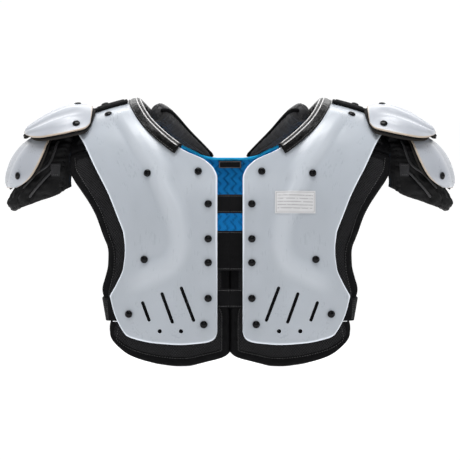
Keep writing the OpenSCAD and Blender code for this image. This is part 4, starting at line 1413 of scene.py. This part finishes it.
def anchors():
    for base, sign in (("side_anchor_front", 1), ("side_anchor_back", -1)):
        def cells(u, v, sign=sign):
            return mix(114, 149, v), sign * (mix(56.4, 85, u) - LOW_END)
        piece = sheet(base, arch_cells(cells), (29, 35), (24, 28), 0.75, CLEAR, depth=-5.25,
                      relief=lambda u, v, c, e: -0.25 * ease((e - 2.5) / 1.5))
        both_sides(piece, base)


# ---------------------------------------------------------------- pieces across the centre
# straps across the centre: name, 1 in front or -1 behind, lower and upper edge, material
CROSS_STRAPS = [("front_strap_upper", 1, 193.4, 217.4, WEBBING),
                ("front_elastic_band", 1, 121, 171, ELASTIC),
                ("front_strap_lower", 1, 74, 98, WEBBING),
                ("rear_strap_upper", -1, 193.4, 217.4, WEBBING),
                ("rear_strap_lower", -1, 74, 98, WEBBING)]
SIDES = (("l", 1), ("r", -1))
STRAP_SEAM = 2.2        # from the edge of a strap to its stitching


def strap_cells(sign, z_low, z_high, side):
    """Half of a strap, from the centre line out to its end under the plate."""
    def cells(u, v):
        x = mix(0, STRAP_HALF, u) * side
        q = sign * q_at(np.zeros_like(x), mix(z_low, z_high, v))
        return x, q
    return cells


def cross_strap(node, sign, z_low, z_high, material):
    """Front straps have sign 1 and back straps -1; each is two halves that meet on the centre line."""
    width = z_high - z_low
    inset = STRAP_SEAM / width
    t = np.linspace(0, 1, 20)

    def relief(u, v, cloth, edge):
        return -0.35 * np.exp(-((edge - STRAP_SEAM) / 0.5) ** 2)
    for side, k in SIDES:
        surface = arch_cells(strap_cells(sign, z_low, z_high, k))
        piece = sheet(f"{node}_{side}", surface, (STRAP_HALF, width), (30, max(24, int(width))), WEB_T,
                      material, depth=WEB_DEPTH, rounded=(0, 1, 1, 1), relief=relief)
        spread(piece, node)
        rows = [line_on(surface, np.linspace(0.01, 0.96, 30), v, WEB_DEPTH) for v in (inset, 1 - inset)]
        rows += [line_on(surface, mix(a, b, t), mix(0.15, 0.85, t), WEB_DEPTH + 0.1)
                 for a, b in ((0.58, 0.92), (0.92, 0.58))]
        made = stitches(f"{node}_{side}_thread", rows, GREY_THREAD, 3.0, 2.0, 0.3)
        spread(made, node, stands_for=False)


def quilting(cloth):
    """How deep a point lies in the zigzag quilting of the liner, 0 to 1."""
    zigzag = 3.4 * (2 / math.pi) * np.arcsin(np.sin(cloth[..., 1] * 2 * math.pi / 15))
    line = np.abs(((cloth[..., 0] + zigzag) / 10.0) % 1 - 0.5) * 10.0
    return np.exp(-line ** 2)


LINER_SIZE = (118, 190)


def back_liner():
    for side, k in SIDES:
        def cells(u, v, k=k):
            x = mix(0, LINER_SIZE[0], u) * k
            return x, mix(138, smooth(LINER_TOP, np.abs(x)), v)
        surface = arch_cells(cells)

        def under(u, v, cloth, edge):
            return 1.5 * quilting(cloth) * ease((edge - 3.6) / 2) - 0.5 * ease(edge / 3)

        # painted shade along the quilting lines, for the liner material
        def tone(u, v, p):
            x, q = cells(u, v)
            return quilting(np.stack([x, along_arch(q)], -1)), np.zeros_like(x)
        piece = sheet(f"back_liner_{side}", surface, LINER_SIZE, (84, 130), 2.0, BLUE, depth=-18.7,
                      rounded=(0, 1, 1, 1), under=under, tone=tone)
        spread(piece, "back_liner")
        x = np.linspace(0.5, 116, 90) * k
        top = smooth(LINER_TOP, np.abs(x))
        rows = [(arch(x, top + 1.9, -20.95), -arch_normal(x, top))]
        made = stitches(f"back_liner_{side}_thread", rows, BLUE, 2.8, 1.9, 0.35)
        spread(made, "back_liner", stands_for=False)


def band_cells(half, z_low, z_high):
    def cells(u, v):
        x = mix(-half, half, u)
        return x, -q_at(np.zeros_like(x), mix(z_low, z_high, v))
    return cells


def collar_tab():
    surface = arch_cells(band_cells(14.5, 256.5, 267))

    def puckered(u, v, cloth, edge):
        return -0.5 + 0.25 * folds(cloth, 51, 8) * ease(edge / 2)
    piece = sheet("collar_tab", surface, (29, 11), (40, 18), 1.1, TAB, depth=-21.2, under=puckered)
    hold(piece, "collar_tab")
    t = np.linspace(0.05, 0.95, 40)
    rows = [(path, -up) for path, up in (line_on(surface, t, v, -22.75) for v in (0.14, 0.86))]
    hold(stitches("collar_tab_thread", rows, GREY_THREAD, 2.2, 1.5, 0.28), "collar_tab", stands_for=False)


def rear_bridge():
    piece = sheet("rear_bridge", arch_cells(band_cells(19, 99, 187)), (38, 88), (26, 44), 1.6, BRIDGE,
                  depth=WEB_DEPTH, relief=lambda u, v, c, e: -0.3 * ease((e - 3) / 2))
    hold(piece, "rear_bridge")


def plate_label():
    def cells(u, v):
        x = mix(56.5, 107.5, v)
        return x, q_at(x, mix(193, 221, u))

    def lie_on_ridge(u, v, cloth, edge):
        return ridge(*cells(u, v))
    piece = sheet("plate_label", arch_cells(cells), (28, 51), (40, 60), 0.3, LABEL, depth=0.75,
                  relief=lie_on_ridge, under=lie_on_ridge)
    hold(piece, "plate_label")


# ---------------------------------------------------------------- stage
FLOOR_RADIUS = 260.0
BACKDROP, FRONT = 1.02, 0.03    # brightness of the surround behind the piece and before it
LAMPS = [("top", (0, -0.35, 1.9), (1.5, 0.9), 40, (0, 0.0, 0.3)),
         ("left", (-1.5, -0.7, 0.45), (0.35, 1.3), 8, (0, 0, 0.18)),
         ("right", (1.5, -0.7, 0.45), (0.35, 1.3), 8, (0, 0, 0.18)),
         ("front", (0, -2.4, 1.1), (1.2, 0.6), 7, (0, 0, 0.2)),
         ("back", (0, 1.6, 1.4), (2.0, 1.0), 12, (0, 0, 0.2))]


def build_stage():
    """Plain pale floor, pale surround, and soft boxes above, in front, behind and at both sides."""
    mesh = bpy.data.meshes.new("floor")
    bm = bmesh.new()
    bmesh.ops.create_circle(bm, cap_ends=True, segments=64, radius=FLOOR_RADIUS)
    bm.to_mesh(mesh)
    bm.free()
    floor = placed("floor", mesh)
    floor.location.z = -0.0006
    s = Shade("pale floor")
    place = s.add("TexCoord").outputs["Object"]
    s.shader.inputs["Emission Color"].default_value = (1, 1, 1, 1)
    s.shader.inputs["Emission Strength"].default_value = 0.86
    colour = s.mix(s.noise(0.4, 2, place), grey(0.40), grey(0.43))
    mesh.materials.append(s.end(colour, 0.9))
    world = bpy.data.worlds.new("studio")
    world.use_nodes = True
    nodes, links = world.node_tree.nodes, world.node_tree.links
    direction = nodes.new("ShaderNodeTexCoord").outputs["Generated"]
    split = nodes.new("ShaderNodeSeparateXYZ")
    fade = nodes.new("ShaderNodeMapRange")
    for socket, value in zip(fade.inputs[1:5], (0.2, 0.6, FRONT, BACKDROP)):
        socket.default_value = value
    links.new(direction, split.inputs[0])
    links.new(split.outputs[1], fade.inputs[0])
    links.new(fade.outputs[0], nodes["Background"].inputs["Strength"])
    nodes["Background"].inputs["Color"].default_value = (1, 1, 1, 1)
    bpy.context.scene.world = world
    for name, at, size, power, target in LAMPS:
        light = bpy.data.lights.new(name, "AREA")
        light.shape = "RECTANGLE"
        light.size, light.size_y = size
        light.energy = power
        lamp = placed(name, light)
        lamp.location = at
        lamp.rotation_euler = (Vector(target) - Vector(at)).to_track_quat("-Z", "Y").to_euler()


VIEW_WIDTH = 0.584      # metres across the picture
VIEW_CENTRE = 0.1712    # height of its middle
VIEW_RANGE = 14.0
VIEW_ELEVATION = 0.4    # degrees


def build_camera():
    data = bpy.data.cameras.new("camera")
    data.sensor_width = 36.0
    data.lens = data.sensor_width * VIEW_RANGE / VIEW_WIDTH
    data.clip_end = 600
    camera = placed("camera", data)
    a = math.radians(VIEW_ELEVATION)
    camera.location = (0, -VIEW_RANGE * math.cos(a), VIEW_CENTRE + VIEW_RANGE * math.sin(a))
    camera.rotation_euler = (math.pi / 2 - a, 0, 0)
    bpy.context.scene.camera = camera
    bpy.context.scene.view_settings.view_transform = "Standard"


arch_shell()
fasteners()
caps()
body_pads()
neck_binding()
neck_cushion()
ARM_SEAM_PATHS = arm_seams()
arm_pad(ARM_SEAM_PATHS)
arm_trims(ARM_SEAM_PATHS)
arm_tab()
crest_strap()
cup_strap()
side_strap()
anchors()
for strap, sign, z_low, z_high, material in CROSS_STRAPS:
    cross_strap(strap, sign, z_low, z_high, material)
back_liner()
collar_tab()
rear_bridge()
plate_label()
for side in ("l", "r"):
    washers = frame["nodes"]["rivet_washers_" + side]
    washers.data.materials.clear()
    washers.data.materials.append(STEEL)
build_stage()
build_camera()
